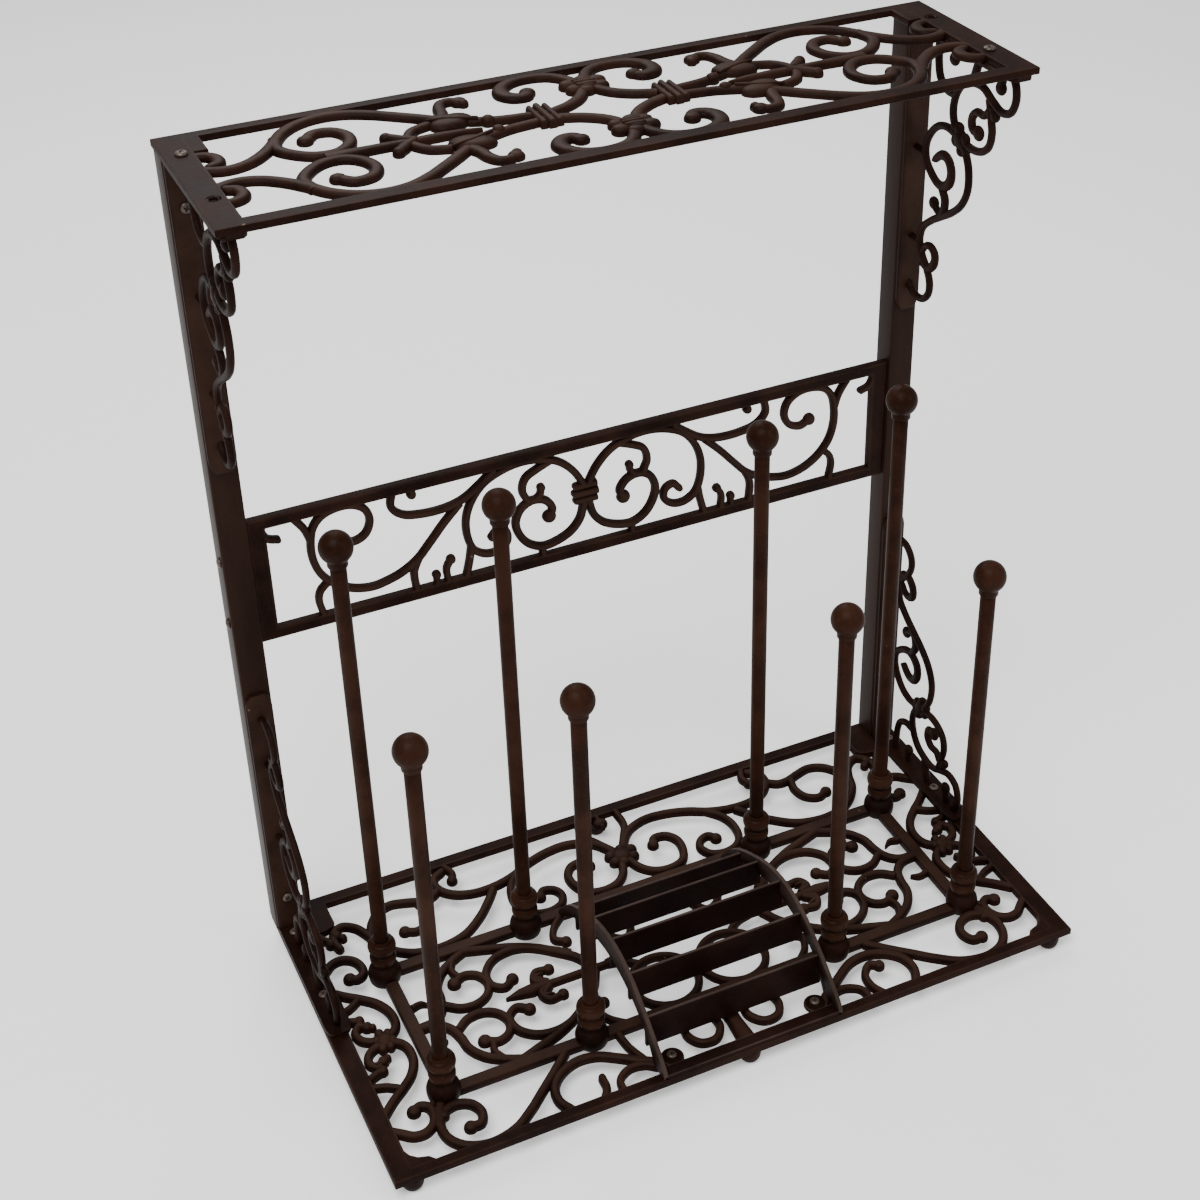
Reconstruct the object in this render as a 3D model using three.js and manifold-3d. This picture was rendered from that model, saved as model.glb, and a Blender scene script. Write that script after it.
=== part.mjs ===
// Cast iron boot and umbrella stand, built from separate bolted pieces.
// Millimetres, +Z up, front faces -Y, floor at z = 0, centred on X and Y.
import * as THREE from 'three';
import { mergeVertices } from 'three/addons/utils/BufferGeometryUtils.js';
import Module from 'manifold-3d';

const wasm = await Module();
wasm.setup();
const { Manifold, Mesh: SolidMesh } = wasm;

// ---- driving dimensions -------------------------------------------------
const BASE_WIDTH = 600;
const DEPTH = 318;
const BASE_TOP = 20;
const BASE_PLATE = 7;
const SHELF_TOP = 725;
const SHELF_PLATE = 5.5;
const SHELF_WIDTH = 604;
const SHELF_FRONT = -5;
const BACK = DEPTH / 2;
const GAP = 0.25;

const UPRIGHT = { inner: 278.5, outer: 301, front: 136, back: 158.5, wall: 2 };
const POST_X = [-235.8, -110.1, 110.1, 235.8];
const POST_ROWS = { back: { y: 48.4, ball: 441 }, front: { y: -89.4, ball: 355 } };
const ROD_RADIUS = 6.2;
const BALL_RADIUS = 13;
const BOSS_TOP = 32;
const COLLAR_TOP = 58;
const FOOT_X = [-284, 0, 284];
const FOOT_Y = 150;

const PANEL = { front: 140, back: 147, bottom: 310, top: 421, half: 278.2, rail: 10, stile: 14 };
const FLANGE = { thick: 4, half: 10.5, front: -3.5, height: 247 };
const BRACKET_X = 289.8;
const SCRAPER_HALF = 78;

// ---- scroll strokes -----------------------------------------------------
// Each stroke is { w: bar width, p: centre line, bulb: end radius }.
// Strokes are drawn for the right half and mirrored.
const BASE_BACK = [
  { w: 8, p: [[3, 92], [9, 108], [20, 121], [38, 128], [58, 127], [78, 121], [96, 112], [115, 107],
    [135, 107], [152, 114], [161, 126], [160, 138], [151, 144]] },
  { w: 7, p: [[147, 149], [143, 138], [146, 130]], bulb: 5 },
  { w: 7.5, p: [[92, 114], [103, 100], [107, 85], [104, 69], [96, 60], [84, 57], [72, 61], [67, 71],
    [71, 80], [80, 83], [85, 77]], bulb: 5.5 },
  { w: 8, p: [[3, 88], [8, 73], [18, 63], [32, 60], [45, 64], [52, 76], [53, 90], [46, 100],
    [35, 101], [31, 94]], bulb: 5.5 },
  { w: 8, p: [[118, 104], [128, 91], [142, 76], [160, 63], [182, 58], [203, 61], [218, 70],
    [229, 84], [234, 99], [241, 112], [251, 118], [259, 113], [262, 103], [260, 93]] },
  { w: 7, p: [[260, 100], [267, 106], [274, 118]] },
  { w: 8, p: [[161, 124], [170, 118], [180, 118], [192, 122], [205, 125], [217, 121], [226, 111],
    [232, 98]] },
  { w: 7.5, p: [[183, 118], [180, 104], [184, 91], [194, 85], [204, 89]], bulb: 5.5 },
  { w: 7, p: [[19, 150], [19, 130], [12, 116], [4, 102]] },
];
const BASE_SIDE = [
  { w: 8, p: [[240, 60], [252, 76], [264, 79], [276, 72], [281, 58], [275, 45], [262, 34], [250, 20],
    [244, 3], [249, -10], [261, -19]] },
  { w: 7.5, p: [[261, -18], [272, -13], [279, -3], [277, 7], [269, 8]], bulb: 5.5 },
  { w: 7, p: [[242, 50], [256, 52], [264, 58]], bulb: 5.5 },
];
const BASE_FRONT = [
  { w: 8, p: [[152, -153], [159, -138], [157, -124], [147, -113], [131, -107], [115, -109],
    [100, -118], [88, -127], [76, -135], [68, -152]] },
  { w: 8, p: [[136, -95], [150, -108], [166, -122], [182, -136], [200, -148], [222, -152],
    [239, -144], [247, -129], [243, -114], [231, -106], [218, -111], [212, -124], [219, -135],
    [228, -132]], bulb: 5.5 },
  { w: 6.5, p: [[110, -153], [108, -139], [96, -132], [84, -134], [76, -140]] },
  { w: 6.5, p: [[90, -95], [88, -112], [82, -130]] },
  { w: 7, p: [[14, -108], [13, -123], [22, -134], [34, -133], [41, -122], [38, -107], [30, -95]] },
];
// The front curl on the left is broken off short, as found.
const BASE_ODD = [
  { w: 7, p: [[124, -153], [118, -140], [119, -127], [128, -118], [135, -122]], bulb: 5 },
  { w: 7, p: [[-128, -153], [-121, -142], [-120, -131]] },
];
const BASE_INNER = [
  { w: 8, p: [[168, 45], [182, 38], [194, 29], [202, 16], [204, 2], [208, -10], [217, -18],
    [232, -20]] },
  { w: 8, p: [[168, 45], [150, 39], [130, 32], [112, 22], [98, 10], [86, -2], [78, -17]] },
  { w: 7.5, p: [[203, -6], [192, -14], [178, -15], [167, -8], [163, 4], [168, 15], [178, 19],
    [188, 14]], bulb: 6 },
  { w: 6.5, p: [[182, 18], [185, 28], [180, 40]] },
  { w: 7.5, p: [[88, 4], [100, 13], [113, 23], [130, 29], [148, 26], [160, 14], [161, -1],
    [152, -8], [143, -2]], bulb: 5.5 },
  { w: 6.5, p: [[118, -18], [128, -13], [124, -4], [112, -5]], bulb: 5 },
  { w: 6.5, p: [[78, 48], [90, 36], [94, 24], [86, 18]], bulb: 5 },
];
const BASE_CENTRE = [
  { w: 7.5, p: [[66, -20], [52, -17], [42, -6], [32, 6], [27, 24], [22, 48]] },
  { w: 7, p: [[38, -2], [48, 4], [54, 14], [48, 22]], bulb: 5 },
  { w: 7, p: [[66, -21], [54, -24], [42, -33]] },
];

const SHELF_SCROLLS = [
  { w: 10, p: [[289, 102], [282, 92], [268, 88], [254, 92], [240, 103], [229, 117], [219, 132],
    [205, 143], [188, 148], [170, 146], [153, 137], [139, 126], [127, 116], [116, 106]] },
  { w: 9, p: [[288, 112], [279, 120], [270, 116], [267, 107]], bulb: 5.5 },
  { w: 10, p: [[226, 124], [229, 106], [220, 92], [208, 84], [194, 84], [183, 94], [180, 108],
    [187, 120], [199, 122], [208, 113]], bulb: 6 },
  { w: 8.5, p: [[152, 80], [141, 91], [134, 103], [120, 107]] },
  { w: 9, p: [[112, 106], [105, 122], [101, 135], [94, 143], [86, 139]], bulb: 5.5 },
  { w: 9, p: [[98, 94], [78, 87], [58, 84], [44, 82]] },
  { w: 10, p: [[40, 83], [24, 90], [11, 101], [4, 117], [6, 133], [16, 146], [31, 151], [47, 146],
    [57, 134], [60, 121], [52, 114]], bulb: 7.5 },
];

const PANEL_SCROLLS = [
  { w: 6.5, p: [[2, 376], [10, 390], [22, 402], [38, 409], [55, 411], [72, 408], [88, 400], [99, 386],
    [104, 370], [103, 352], [98, 340], [88, 334], [77, 335], [70, 342], [71, 351], [78, 354],
    [84, 348]] },
  { w: 6.5, p: [[101, 346], [103, 334], [107, 318]] },
  { w: 6.5, p: [[78, 411], [90, 401], [105, 391], [120, 387], [140, 387], [156, 391], [164, 400],
    [162, 415]] },
  { w: 6, p: [[147, 414], [147, 407]], bulb: 4 },
  { w: 6.5, p: [[108, 388], [122, 374], [135, 359], [147, 346], [160, 338], [172, 334], [185, 332],
    [200, 335], [214, 343], [225, 356], [230, 372], [230, 388], [227, 400], [220, 408],
    [208, 412], [195, 411], [185, 404], [182, 393], [187, 382], [197, 378], [206, 382]], bulb: 5.5 },
  { w: 6.5, p: [[230, 388], [234, 400], [243, 414]] },
  { w: 6, p: [[268, 410], [263, 400], [255, 397]] },
  { w: 6.5, p: [[145, 348], [150, 336], [149, 316]] },
  { w: 6, p: [[122, 316], [123, 331], [119, 338]], bulb: 4 },
  { w: 5.5, p: [[132, 316], [132, 327]], bulb: 3.8 },
  { w: 6, p: [[221, 347], [227, 341], [229, 333], [226, 316]] },
  { w: 6.5, p: [[30, 406], [42, 401], [52, 395], [55, 384], [50, 372]] },
  { w: 6, p: [[46, 372], [40, 377], [39, 383]], bulb: 3.6 },
  { w: 7, p: [[2, 360], [6, 345], [14, 335], [26, 329], [40, 327], [52, 333], [60, 345], [62, 357],
    [57, 368], [47, 373], [36, 370], [30, 361], [33, 354]], bulb: 6 },
  { w: 6.5, p: [[40, 328], [40, 316]] },
];

// Bracket strokes use (y, distance from the outer face of the level flange).
const BRACKET_SCROLLS = [
  { w: 6.5, p: [[134, 222], [121, 227], [110, 226], [102, 220], [101, 210], [106, 200], [114, 191],
    [119, 180], [116, 167], [102, 154], [90, 146], [76, 137], [64, 126], [57, 110], [58, 94],
    [66, 80], [76, 70], [83, 57], [82, 43], [74, 32], [60, 25], [45, 25], [33, 30], [22, 34],
    [10, 30], [4, 20], [8, 6]] },
  { w: 6, p: [[114, 196], [104, 198], [97, 191], [98, 182], [106, 178]], bulb: 3.6 },
  { w: 6, p: [[95, 150], [100, 142], [106, 135]] },
  { w: 6.5, p: [[88, 146], [91, 128]] },
  { w: 6.5, p: [[68, 80], [79, 75], [91, 73], [103, 78], [114, 88], [119, 103], [115, 117],
    [104, 126], [91, 128], [83, 121], [80, 110], [86, 101]], bulb: 6 },
  { w: 6.5, p: [[134, 103], [118, 103]] },
  { w: 6.5, p: [[134, 180], [118, 180]] },
  { w: 6.5, p: [[64, 80], [50, 77], [39, 73], [33, 62], [35, 48], [34, 32]] },
  { w: 6, p: [[35, 62], [45, 66], [54, 61], [57, 51]], bulb: 6 },
  { w: 5.5, p: [[34, 42], [26, 46]], bulb: 3.8 },
  { w: 6.5, p: [[81, 43], [93, 43], [103, 37], [107, 26], [108, 2]] },
  { w: 6, p: [[86, 2], [86, 18]], bulb: 5 },
  { w: 6, p: [[26, 2], [26, 16]], bulb: 4.5 },
  { w: 8, p: [[60, 25], [52, 2]] },
];

// ---- small solid helpers ------------------------------------------------
function solidOf(geometry) {
  const bare = geometry.clone();
  bare.deleteAttribute('normal');
  bare.deleteAttribute('uv');
  const merged = mergeVertices(bare, 1e-4);
  return new Manifold(new SolidMesh({
    numProp: 3,
    vertProperties: new Float32Array(merged.attributes.position.array),
    triVerts: new Uint32Array(merged.index.array),
  }));
}

function geometryOf(solid) {
  const mesh = solid.getMesh();
  const geometry = new THREE.BufferGeometry();
  const positions = [];
  for (let i = 0; i < mesh.vertProperties.length; i += mesh.numProp) {
    positions.push(...mesh.vertProperties.slice(i, i + 3));
  }
  geometry.setAttribute('position', new THREE.Float32BufferAttribute(positions, 3));
  geometry.setIndex(Array.from(mesh.triVerts));
  return geometry;
}

function box(x0, x1, y0, y1, z0, z1) {
  const geometry = new THREE.BoxGeometry(x1 - x0, y1 - y0, z1 - z0);
  geometry.translate((x0 + x1) / 2, (y0 + y1) / 2, (z0 + z1) / 2);
  return solidOf(geometry);
}

function prism(outline, z0, z1) {
  const shape = new THREE.Shape(outline.map(([x, y]) => new THREE.Vector2(x, y)));
  const geometry = new THREE.ExtrudeGeometry(shape, { depth: z1 - z0, bevelEnabled: false });
  geometry.translate(0, 0, z0);
  return solidOf(geometry);
}

function ellipse(cx, cy, rx, ry, sides, turn = 0) {
  return Array.from({ length: sides }, (_, i) => {
    const angle = ((i + 0.5) / sides) * Math.PI * 2;
    const x = rx * Math.cos(angle);
    const y = ry * Math.sin(angle);
    return [cx + x * Math.cos(turn) - y * Math.sin(turn), cy + x * Math.sin(turn) + y * Math.cos(turn)];
  });
}

function lathe(profile, sides) {
  const points = profile.map(([r, z]) => new THREE.Vector2(r, z));
  const geometry = new THREE.LatheGeometry(points, sides);
  geometry.rotateX(Math.PI / 2);
  return solidOf(geometry);
}

// A flat bar that follows a line of points, with square section and ends.
// A bulb widens the last station and adds a short tapered tip.
function ribbon({ w, p, bulb }, z0, z1) {
  const at = p.map(([x, y]) => new THREE.Vector2(x, y));
  const widths = at.map(() => w);
  if (bulb) {
    const last = at[at.length - 1];
    const ahead = last.clone().sub(at[at.length - 2]).normalize();
    widths[widths.length - 1] = 2 * bulb;
    at.push(last.clone().addScaledVector(ahead, bulb));
    widths.push(bulb);
  }
  const vertices = [];
  at.forEach((point, i) => {
    const before = point.clone().sub(at[Math.max(i - 1, 0)]).normalize();
    const after = at[Math.min(i + 1, at.length - 1)].clone().sub(point).normalize();
    const side = before.clone().add(after).normalize();
    const cosHalf = Math.max(0.8, side.dot(i ? before : after));
    const half = widths[i] / 2 / cosHalf;
    const nx = -side.y * half;
    const ny = side.x * half;
    vertices.push(point.x + nx, point.y + ny, z0, point.x - nx, point.y - ny, z0);
    vertices.push(point.x - nx, point.y - ny, z1, point.x + nx, point.y + ny, z1);
  });
  const faces = [0, 1, 2, 0, 2, 3];
  for (let i = 0; i < at.length - 1; i += 1) {
    for (let k = 0; k < 4; k += 1) {
      const a = i * 4 + k;
      const b = i * 4 + ((k + 1) % 4);
      faces.push(a, a + 4, b, b, a + 4, b + 4);
    }
  }
  const e = (at.length - 1) * 4;
  faces.push(e, e + 2, e + 1, e, e + 3, e + 2);
  const geometry = new THREE.BufferGeometry();
  geometry.setAttribute('position', new THREE.Float32BufferAttribute(vertices, 3));
  geometry.setIndex(faces);
  return solidOf(geometry);
}

const strokes = (list, z0, z1) => list.map((stroke) => ribbon(stroke, z0, z1));

const flipX = (list) => list.map((s) => ({ ...s, p: s.p.map(([x, y]) => [-x, y]) }));
const flipY = (list, total) => list.map((s) => ({ ...s, p: s.p.map(([x, y]) => [x, total - y]) }));
const bothX = (list) => [...list, ...flipX(list)];
const bothY = (list, total) => [...list, ...flipY(list, total)];
const mirrorOutline = (outline) => outline.map(([x, y]) => [-x, y]);

function ring(cx, cy, radius, width, sides) {
  const outline = Array.from({ length: sides + 1 }, (_, i) => {
    const angle = (i / sides) * Math.PI * 2;
    return [cx + radius * Math.cos(angle), cy + radius * Math.sin(angle)];
  });
  return { w: width, p: outline };
}

// ---- assembly -----------------------------------------------------------
const group = new THREE.Group();
group.name = 'boot_and_umbrella_stand';

const CAST = { color: 0x3a2620, roughness: 0.55, metalness: 0.4 };
const TURNED = { color: 0x4a2e20, roughness: 0.45, metalness: 0.4 };
const STEEL = { color: 0x8c8378, roughness: 0.35, metalness: 0.9 };

function add(name, solid, look, placement = null) {
  const geometry = (solid instanceof THREE.BufferGeometry ? solid : geometryOf(solid)).toNonIndexed();
  if (placement) geometry.applyMatrix4(placement);
  geometry.computeVertexNormals();
  const mesh = new THREE.Mesh(geometry, new THREE.MeshStandardMaterial(look));
  mesh.name = name;
  group.add(mesh);
}

const drills = [];
function round(cx, cy, z0, z1, radius, sides = 12) {
  return prism(ellipse(cx, cy, radius, radius, sides), z0, z1);
}

// Screws: a low domed head and a shank, seated on a face and pointing inward.
function screw(name, at, inward, headRadius = 4.2, shank = 9) {
  const head = lathe([[0, 0.15], [headRadius, 0.15], [headRadius * 0.75, 2.2], [0, 2.6]], 8);
  const body = round(0, 0, -shank, 0.5, 1.9, 6);
  const turn = new THREE.Quaternion().setFromUnitVectors(
    new THREE.Vector3(0, 0, -1),
    new THREE.Vector3(...inward),
  );
  const place = new THREE.Matrix4().compose(
    new THREE.Vector3(...at),
    turn,
    new THREE.Vector3(1, 1, 1),
  );
  add(name, Manifold.union([head, body]), STEEL, place);
  const hole = geometryOf(round(0, 0, -shank - 3, 3, 2.3, 6));
  hole.applyMatrix4(place);
  drills.push(solidOf(hole));
}

const zBase = [BASE_TOP - BASE_PLATE, BASE_TOP];
const zShelf = [SHELF_TOP - SHELF_PLATE, SHELF_TOP];
const shelfHalf = SHELF_WIDTH / 2;
const baseHalf = BASE_WIDTH / 2;
const underShelf = SHELF_TOP - SHELF_PLATE - GAP;
const onBase = BASE_TOP + GAP;
const bracketFace = UPRIGHT.front - GAP;

// Screws first, so that their holes can be cut from the pieces they pass through.
for (const [side, s] of [['left', -1], ['right', 1]]) {
  const x = s * BRACKET_X;
  screw(`screw_bracket_upper_${side}`, [x, bracketFace - FLANGE.thick, 683], [0, 1, 0]);
  screw(`screw_bracket_lower_${side}`, [x, bracketFace - FLANGE.thick, 56], [0, 1, 0]);
  screw(`screw_base_front_${side}`, [x, 42, onBase + FLANGE.thick], [0, 0, -1]);
  screw(`screw_base_rear_${side}`, [x, 122, onBase + FLANGE.thick], [0, 0, -1]);
  screw(`screw_panel_upper_${side}`, [s * UPRIGHT.outer, 143.5, 390], [-s, 0, 0], 4.2, 30);
  screw(`screw_panel_lower_${side}`, [s * UPRIGHT.outer, 143.5, 334], [-s, 0, 0], 4.2, 30);
  screw(`screw_scraper_${side}`, [s * 64, -140, onBase + 3.5], [0, 0, -1]);
}
screw('screw_shelf_left_rear', [-BRACKET_X, 122, SHELF_TOP], [0, 0, -1], 4.6, 9);
screw('screw_shelf_right_front', [BRACKET_X, 42, SHELF_TOP], [0, 0, -1], 4.6, 9);

const spare = [
  round(-BRACKET_X, 42, SHELF_TOP - 14, SHELF_TOP + 3, 3, 6),
  round(BRACKET_X, 122, SHELF_TOP - 14, SHELF_TOP + 3, 3, 6),
];

// Base grate.
const postSpots = POST_X.flatMap((x) => [[x, POST_ROWS.back.y], [x, POST_ROWS.front.y]]);
const MID_Y = POST_ROWS.back.y + POST_ROWS.front.y;
const spear = [[156, -20.5], [146, -25.5], [134, -27.5], [126, -24.5], [60, -24.5], [60, -16.5],
  [126, -16.5], [134, -13.5], [146, -15.5]];
const frontCorner = [[299, -158], [262, -158], [264, -149], [270, -143], [277, -139], [284, -131],
  [299, -131]];
const backCorner = [[299, 158], [255, 158], [255, 122], [262, 117], [284, 116], [299, 116]];
const baseSolids = [
  box(-baseHalf, baseHalf, -BACK, -BACK + 9.5, ...zBase),
  box(-baseHalf, baseHalf, BACK - 11, BACK, ...zBase),
  box(-baseHalf, -baseHalf + 16.5, -BACK, BACK, ...zBase),
  box(baseHalf - 16.5, baseHalf, -BACK, BACK, ...zBase),
  box(-240, 240, 44.5, 55.5, ...zBase),
  box(-240, 240, -96.5, -85.5, ...zBase),
  box(-240, -229, -92, 52, ...zBase),
  box(229, 240, -92, 52, ...zBase),
  box(-6, 6, 84, 101, ...zBase),
  box(256, 268, -27, -14, ...zBase),
  box(-268, -256, -27, -14, ...zBase),
  box(-9, 9, -152, -94, ...zBase),
  box(-2.5, 2.5, 134, 150, ...zBase),
  ...[frontCorner, backCorner, spear].flatMap((o) => [prism(o, ...zBase), prism(mirrorOutline(o), ...zBase)]),
  ...strokes(bothX(BASE_BACK), ...zBase),
  ...strokes(bothY(bothX(BASE_SIDE), MID_Y), ...zBase),
  ...strokes(bothX(BASE_FRONT), ...zBase),
  ...strokes(bothY(bothX(BASE_INNER), MID_Y), ...zBase),
  ...strokes(bothX(BASE_CENTRE), ...zBase),
  ...strokes(bothX([ring(31, -59, 28, 7, 18)]), ...zBase),
  ...strokes(BASE_ODD, ...zBase),
  ...postSpots.map(([x, y]) => {
    const boss = geometryOf(lathe([[0, 0], [15.5, 0], [14.5, 8], [11, 19], [0, 19]], 10));
    boss.translate(x, y, BOSS_TOP - 19);
    return solidOf(boss);
  }),
];
const socketHoles = postSpots.map(([x, y]) => round(x, y, 10, 40, ROD_RADIUS + 0.2));
add('base_grate', Manifold.union(baseSolids).subtract(Manifold.union([...socketHoles, ...drills])), CAST);

// Feet.
for (const x of FOOT_X) {
  for (const [row, y] of [['front', -FOOT_Y], ['back', FOOT_Y]]) {
    const side = x < 0 ? 'left' : x > 0 ? 'right' : 'middle';
    const foot = geometryOf(lathe([[0, 0], [4.5, 0], [7.6, 3], [9, 8], [9, 12.75], [0, 12.75]], 12));
    foot.translate(x, y, 0);
    add(`foot_${row}_${side}`, foot, CAST);
  }
}

// Boot posts: turned collar on the boss, rod through it, ball on the rod.
const columnNames = ['left_outer', 'left_inner', 'right_inner', 'right_outer'];
POST_X.forEach((x, column) => {
  for (const [row, { y, ball }] of Object.entries(POST_ROWS)) {
    const id = `${row}_${columnNames[column]}`;
    const rod = geometryOf(round(0, 0, BASE_TOP - BASE_PLATE + 0.5, ball - 6.3, ROD_RADIUS));
    rod.translate(x, y, 0);
    add(`post_rod_${id}`, rod, TURNED);
    const bore = ROD_RADIUS + 0.2;
    const collar = geometryOf(lathe([[0, 32.25], [9, 32.25], [11, 38.5], [8.6, 45.5], [11.8, 51.5],
      [8.5, COLLAR_TOP], [0, COLLAR_TOP]], 12).subtract(round(0, 0, 20, 80, bore)));
    collar.translate(x, y, 0);
    add(`post_collar_${id}`, collar, TURNED);
    const r = BALL_RADIUS;
    const ballProfile = [[0, -r - 3], [7.6, -r - 3], [9, -r + 3], [r, -2], [r, 2], [9.5, r * 0.76],
      [0, r]];
    const knob = geometryOf(lathe(ballProfile, 12).subtract(round(0, 0, -40, -6, bore)));
    knob.translate(x, y, ball);
    add(`post_ball_${id}`, knob, TURNED);
  }
});

// Boot scraper: two arched cheeks, five slats, a front strip and two ears.
const ARCH = [[-159, onBase], [-158, 26], [-148, 37], [-132, 50], [-116, 62], [-98, 73], [-78, 81], [-58, 82.5],
  [-32, 78], [-6, 67], [18, 54], [36, 39], [48, 24], [50, onBase], [41, onBase], [31, 31], [12, 45],
  [-10, 54], [-34, 62], [-58, 65], [-78, 63], [-98, 57], [-112, 50], [-128, 38], [-141, onBase]];
const SLATS = [[-122, 24, 55], [-91, 46, 74], [-56, 52, 80], [-18, 46, 70.5], [14, 30, 54]];
const cheek = (x0, x1) => {
  const plate = geometryOf(prism(ARCH, x0, x1));
  plate.applyMatrix4(new THREE.Matrix4().set(0, 0, 1, 0, 1, 0, 0, 0, 0, 1, 0, 0, 0, 0, 0, 1));
  return solidOf(plate);
};
add('boot_scraper', Manifold.union([
  cheek(-SCRAPER_HALF - 1.5, -SCRAPER_HALF + 2),
  cheek(SCRAPER_HALF - 2, SCRAPER_HALF + 1.5),
  ...SLATS.map(([y, z0, z1]) => box(-SCRAPER_HALF, SCRAPER_HALF, y - 1.6, y + 1.6, z0, z1)),
  box(-SCRAPER_HALF, SCRAPER_HALF, -158.5, -147.5, onBase, onBase + 3.5),
  ...[-64, 64].map((x) => round(x, -141, onBase, onBase + 3.5, 9.5, 10)),
]).subtract(Manifold.union(drills)), CAST);

// Uprights: square tubes standing on the base corners.
for (const [side, s] of [['left', -1], ['right', 1]]) {
  const { inner, outer, front, back, wall } = UPRIGHT;
  const [x0, x1] = s < 0 ? [-outer, -inner] : [inner, outer];
  const tube = box(x0, x1, front, back, onBase, underShelf)
    .subtract(box(x0 + wall, x1 - wall, front + wall, back - wall, 0, 800))
    .subtract(Manifold.union(drills));
  add(`${side}_upright`, tube, CAST);
}

// Middle panel between the uprights, drawn in X and Z.
const flat = [0, PANEL.back - PANEL.front];
const panel = Manifold.union([
  box(-PANEL.half, PANEL.half, PANEL.top - PANEL.rail, PANEL.top, ...flat),
  box(-PANEL.half, PANEL.half, PANEL.bottom, PANEL.bottom + PANEL.rail, ...flat),
  box(-PANEL.half, -PANEL.half + PANEL.stile, PANEL.bottom, PANEL.top, ...flat),
  box(PANEL.half - PANEL.stile, PANEL.half, PANEL.bottom, PANEL.top, ...flat),
  box(-10, 10, 358, 379, ...flat),
  ...strokes(bothX(PANEL_SCROLLS), ...flat),
]);
const stand = new THREE.Matrix4().set(1, 0, 0, 0, 0, 0, -1, PANEL.back, 0, 1, 0, 0, 0, 0, 0, 1);
const standing = geometryOf(panel);
standing.applyMatrix4(stand);
add('mid_panel', solidOf(standing).subtract(Manifold.union(drills)), CAST);

// Brackets, drawn in Y and height, then stood on the base or hung from the shelf.
const bracketWeb = [
  ...strokes(BRACKET_SCROLLS, -3, 3),
  prism(ellipse(70, 76, 12, 7, 8, -0.7), -4, 4),
];
const bracket = Manifold.union([
  ...bracketWeb,
  box(bracketFace - FLANGE.thick, bracketFace, 0, FLANGE.height, -FLANGE.half, FLANGE.half),
  box(FLANGE.front, bracketFace, 0, FLANGE.thick, -FLANGE.half, FLANGE.half),
]);
for (const [side, s] of [['left', -1], ['right', 1]]) {
  for (const [level, up, z] of [['lower', 1, onBase], ['upper', -1, underShelf]]) {
    const place = new THREE.Matrix4().set(
      0, 0, up, s * BRACKET_X,
      1, 0, 0, 0,
      0, up, 0, z,
      0, 0, 0, 1,
    );
    const part = geometryOf(bracket);
    part.applyMatrix4(place);
    const cut = Manifold.union([...drills, ...spare]);
    add(`${side}_${level}_bracket`, solidOf(part).subtract(cut), CAST);
  }
}

// Top grate that umbrellas stand through.
const MID_SHELF = SHELF_FRONT + BACK + 1;
const leaf = ellipse(155, 77.5, 4.5, 21, 8);
const budHigh = ellipse(109, 98, 18, 12, 10, -0.3);
const budLow = budHigh.map(([x, y]) => [x, MID_SHELF - y]);
const shelfSolids = [
  box(-shelfHalf, shelfHalf, SHELF_FRONT, SHELF_FRONT + 12, ...zShelf),
  box(-shelfHalf, shelfHalf, BACK - 9.5, BACK, ...zShelf),
  box(-shelfHalf, -shelfHalf + 21, SHELF_FRONT, BACK, ...zShelf),
  box(shelfHalf - 21, shelfHalf, SHELF_FRONT, BACK, ...zShelf),
  box(-shelfHalf, -shelfHalf + 31, 124, BACK, ...zShelf),
  box(shelfHalf - 31, shelfHalf, 124, BACK, ...zShelf),
  box(-9, 9, 115, 129, ...zShelf),
  box(-9, 9, MID_SHELF - 129, MID_SHELF - 115, ...zShelf),
  ...[1, -1].flatMap((s) => [
    prism(ellipse(s * 48, 77.5, 8, 18, 8), ...zShelf),
    box(Math.min(s * 112, s * 205), Math.max(s * 112, s * 205), 72.5, 82.5, ...zShelf),
  ]),
  ...[leaf, budHigh, budLow].flatMap((o) => [prism(o, ...zShelf), prism(mirrorOutline(o), ...zShelf)]),
  ...strokes(bothY(bothX(SHELF_SCROLLS), MID_SHELF), ...zShelf),
];
add('top_grate', Manifold.union(shelfSolids).subtract(Manifold.union([...drills, ...spare])), CAST);

export default group;
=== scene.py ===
"""Cast iron boot and umbrella stand.

Units are metres, +Z is up, the open front faces -Y, and the floor is z = 0.
Drawing lists are in millimetres and are scaled by MM.

Surfaces, in words:
  cast paint   A dark rust-brown satin paint on sand-cast iron. Colour is a near-black brown,
             mixed towards a dusty brown by a slow cloud of noise and by the "crown" value, which
             is 1 along the top of a bar and 0 low on its sides. The dusty brown on the crowns is
             partly dust and wear and partly painted light, the tops painted lighter as if lit
             from above. A few tiny pale chips sit on the crowns. Roughness rises and falls with
             the same cloud. Bump is fine sand grain plus a shallow, broad unevenness.
  scraped      The cast paint again, darker and redder on faces, with a thin grey-brown line along
             the upper edges of cheeks and slats: partly rubbed wear, partly a painted highlight
             on the upper edges.
  tube paint   The same paint on smooth steel tube: less grain, faint streaks along the length.
  post paint   A redder, smoother paint, paler in a band part way up each rod where boots scuff it,
             and paler on the bulges of the beads and towards the top of each ball: partly wear,
             partly a painted highlight.
  steel        Worn bare steel: warm grey metal with brown tarnish in patches, paler on the top of
             each screw head, partly wear and partly a painted highlight, and left dark in the
             cross recess, a painted shade.
"""

import math

import bpy
import numpy as np
from mathutils import Matrix, Vector
from mathutils.geometry import delaunay_2d_cdt


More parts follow.
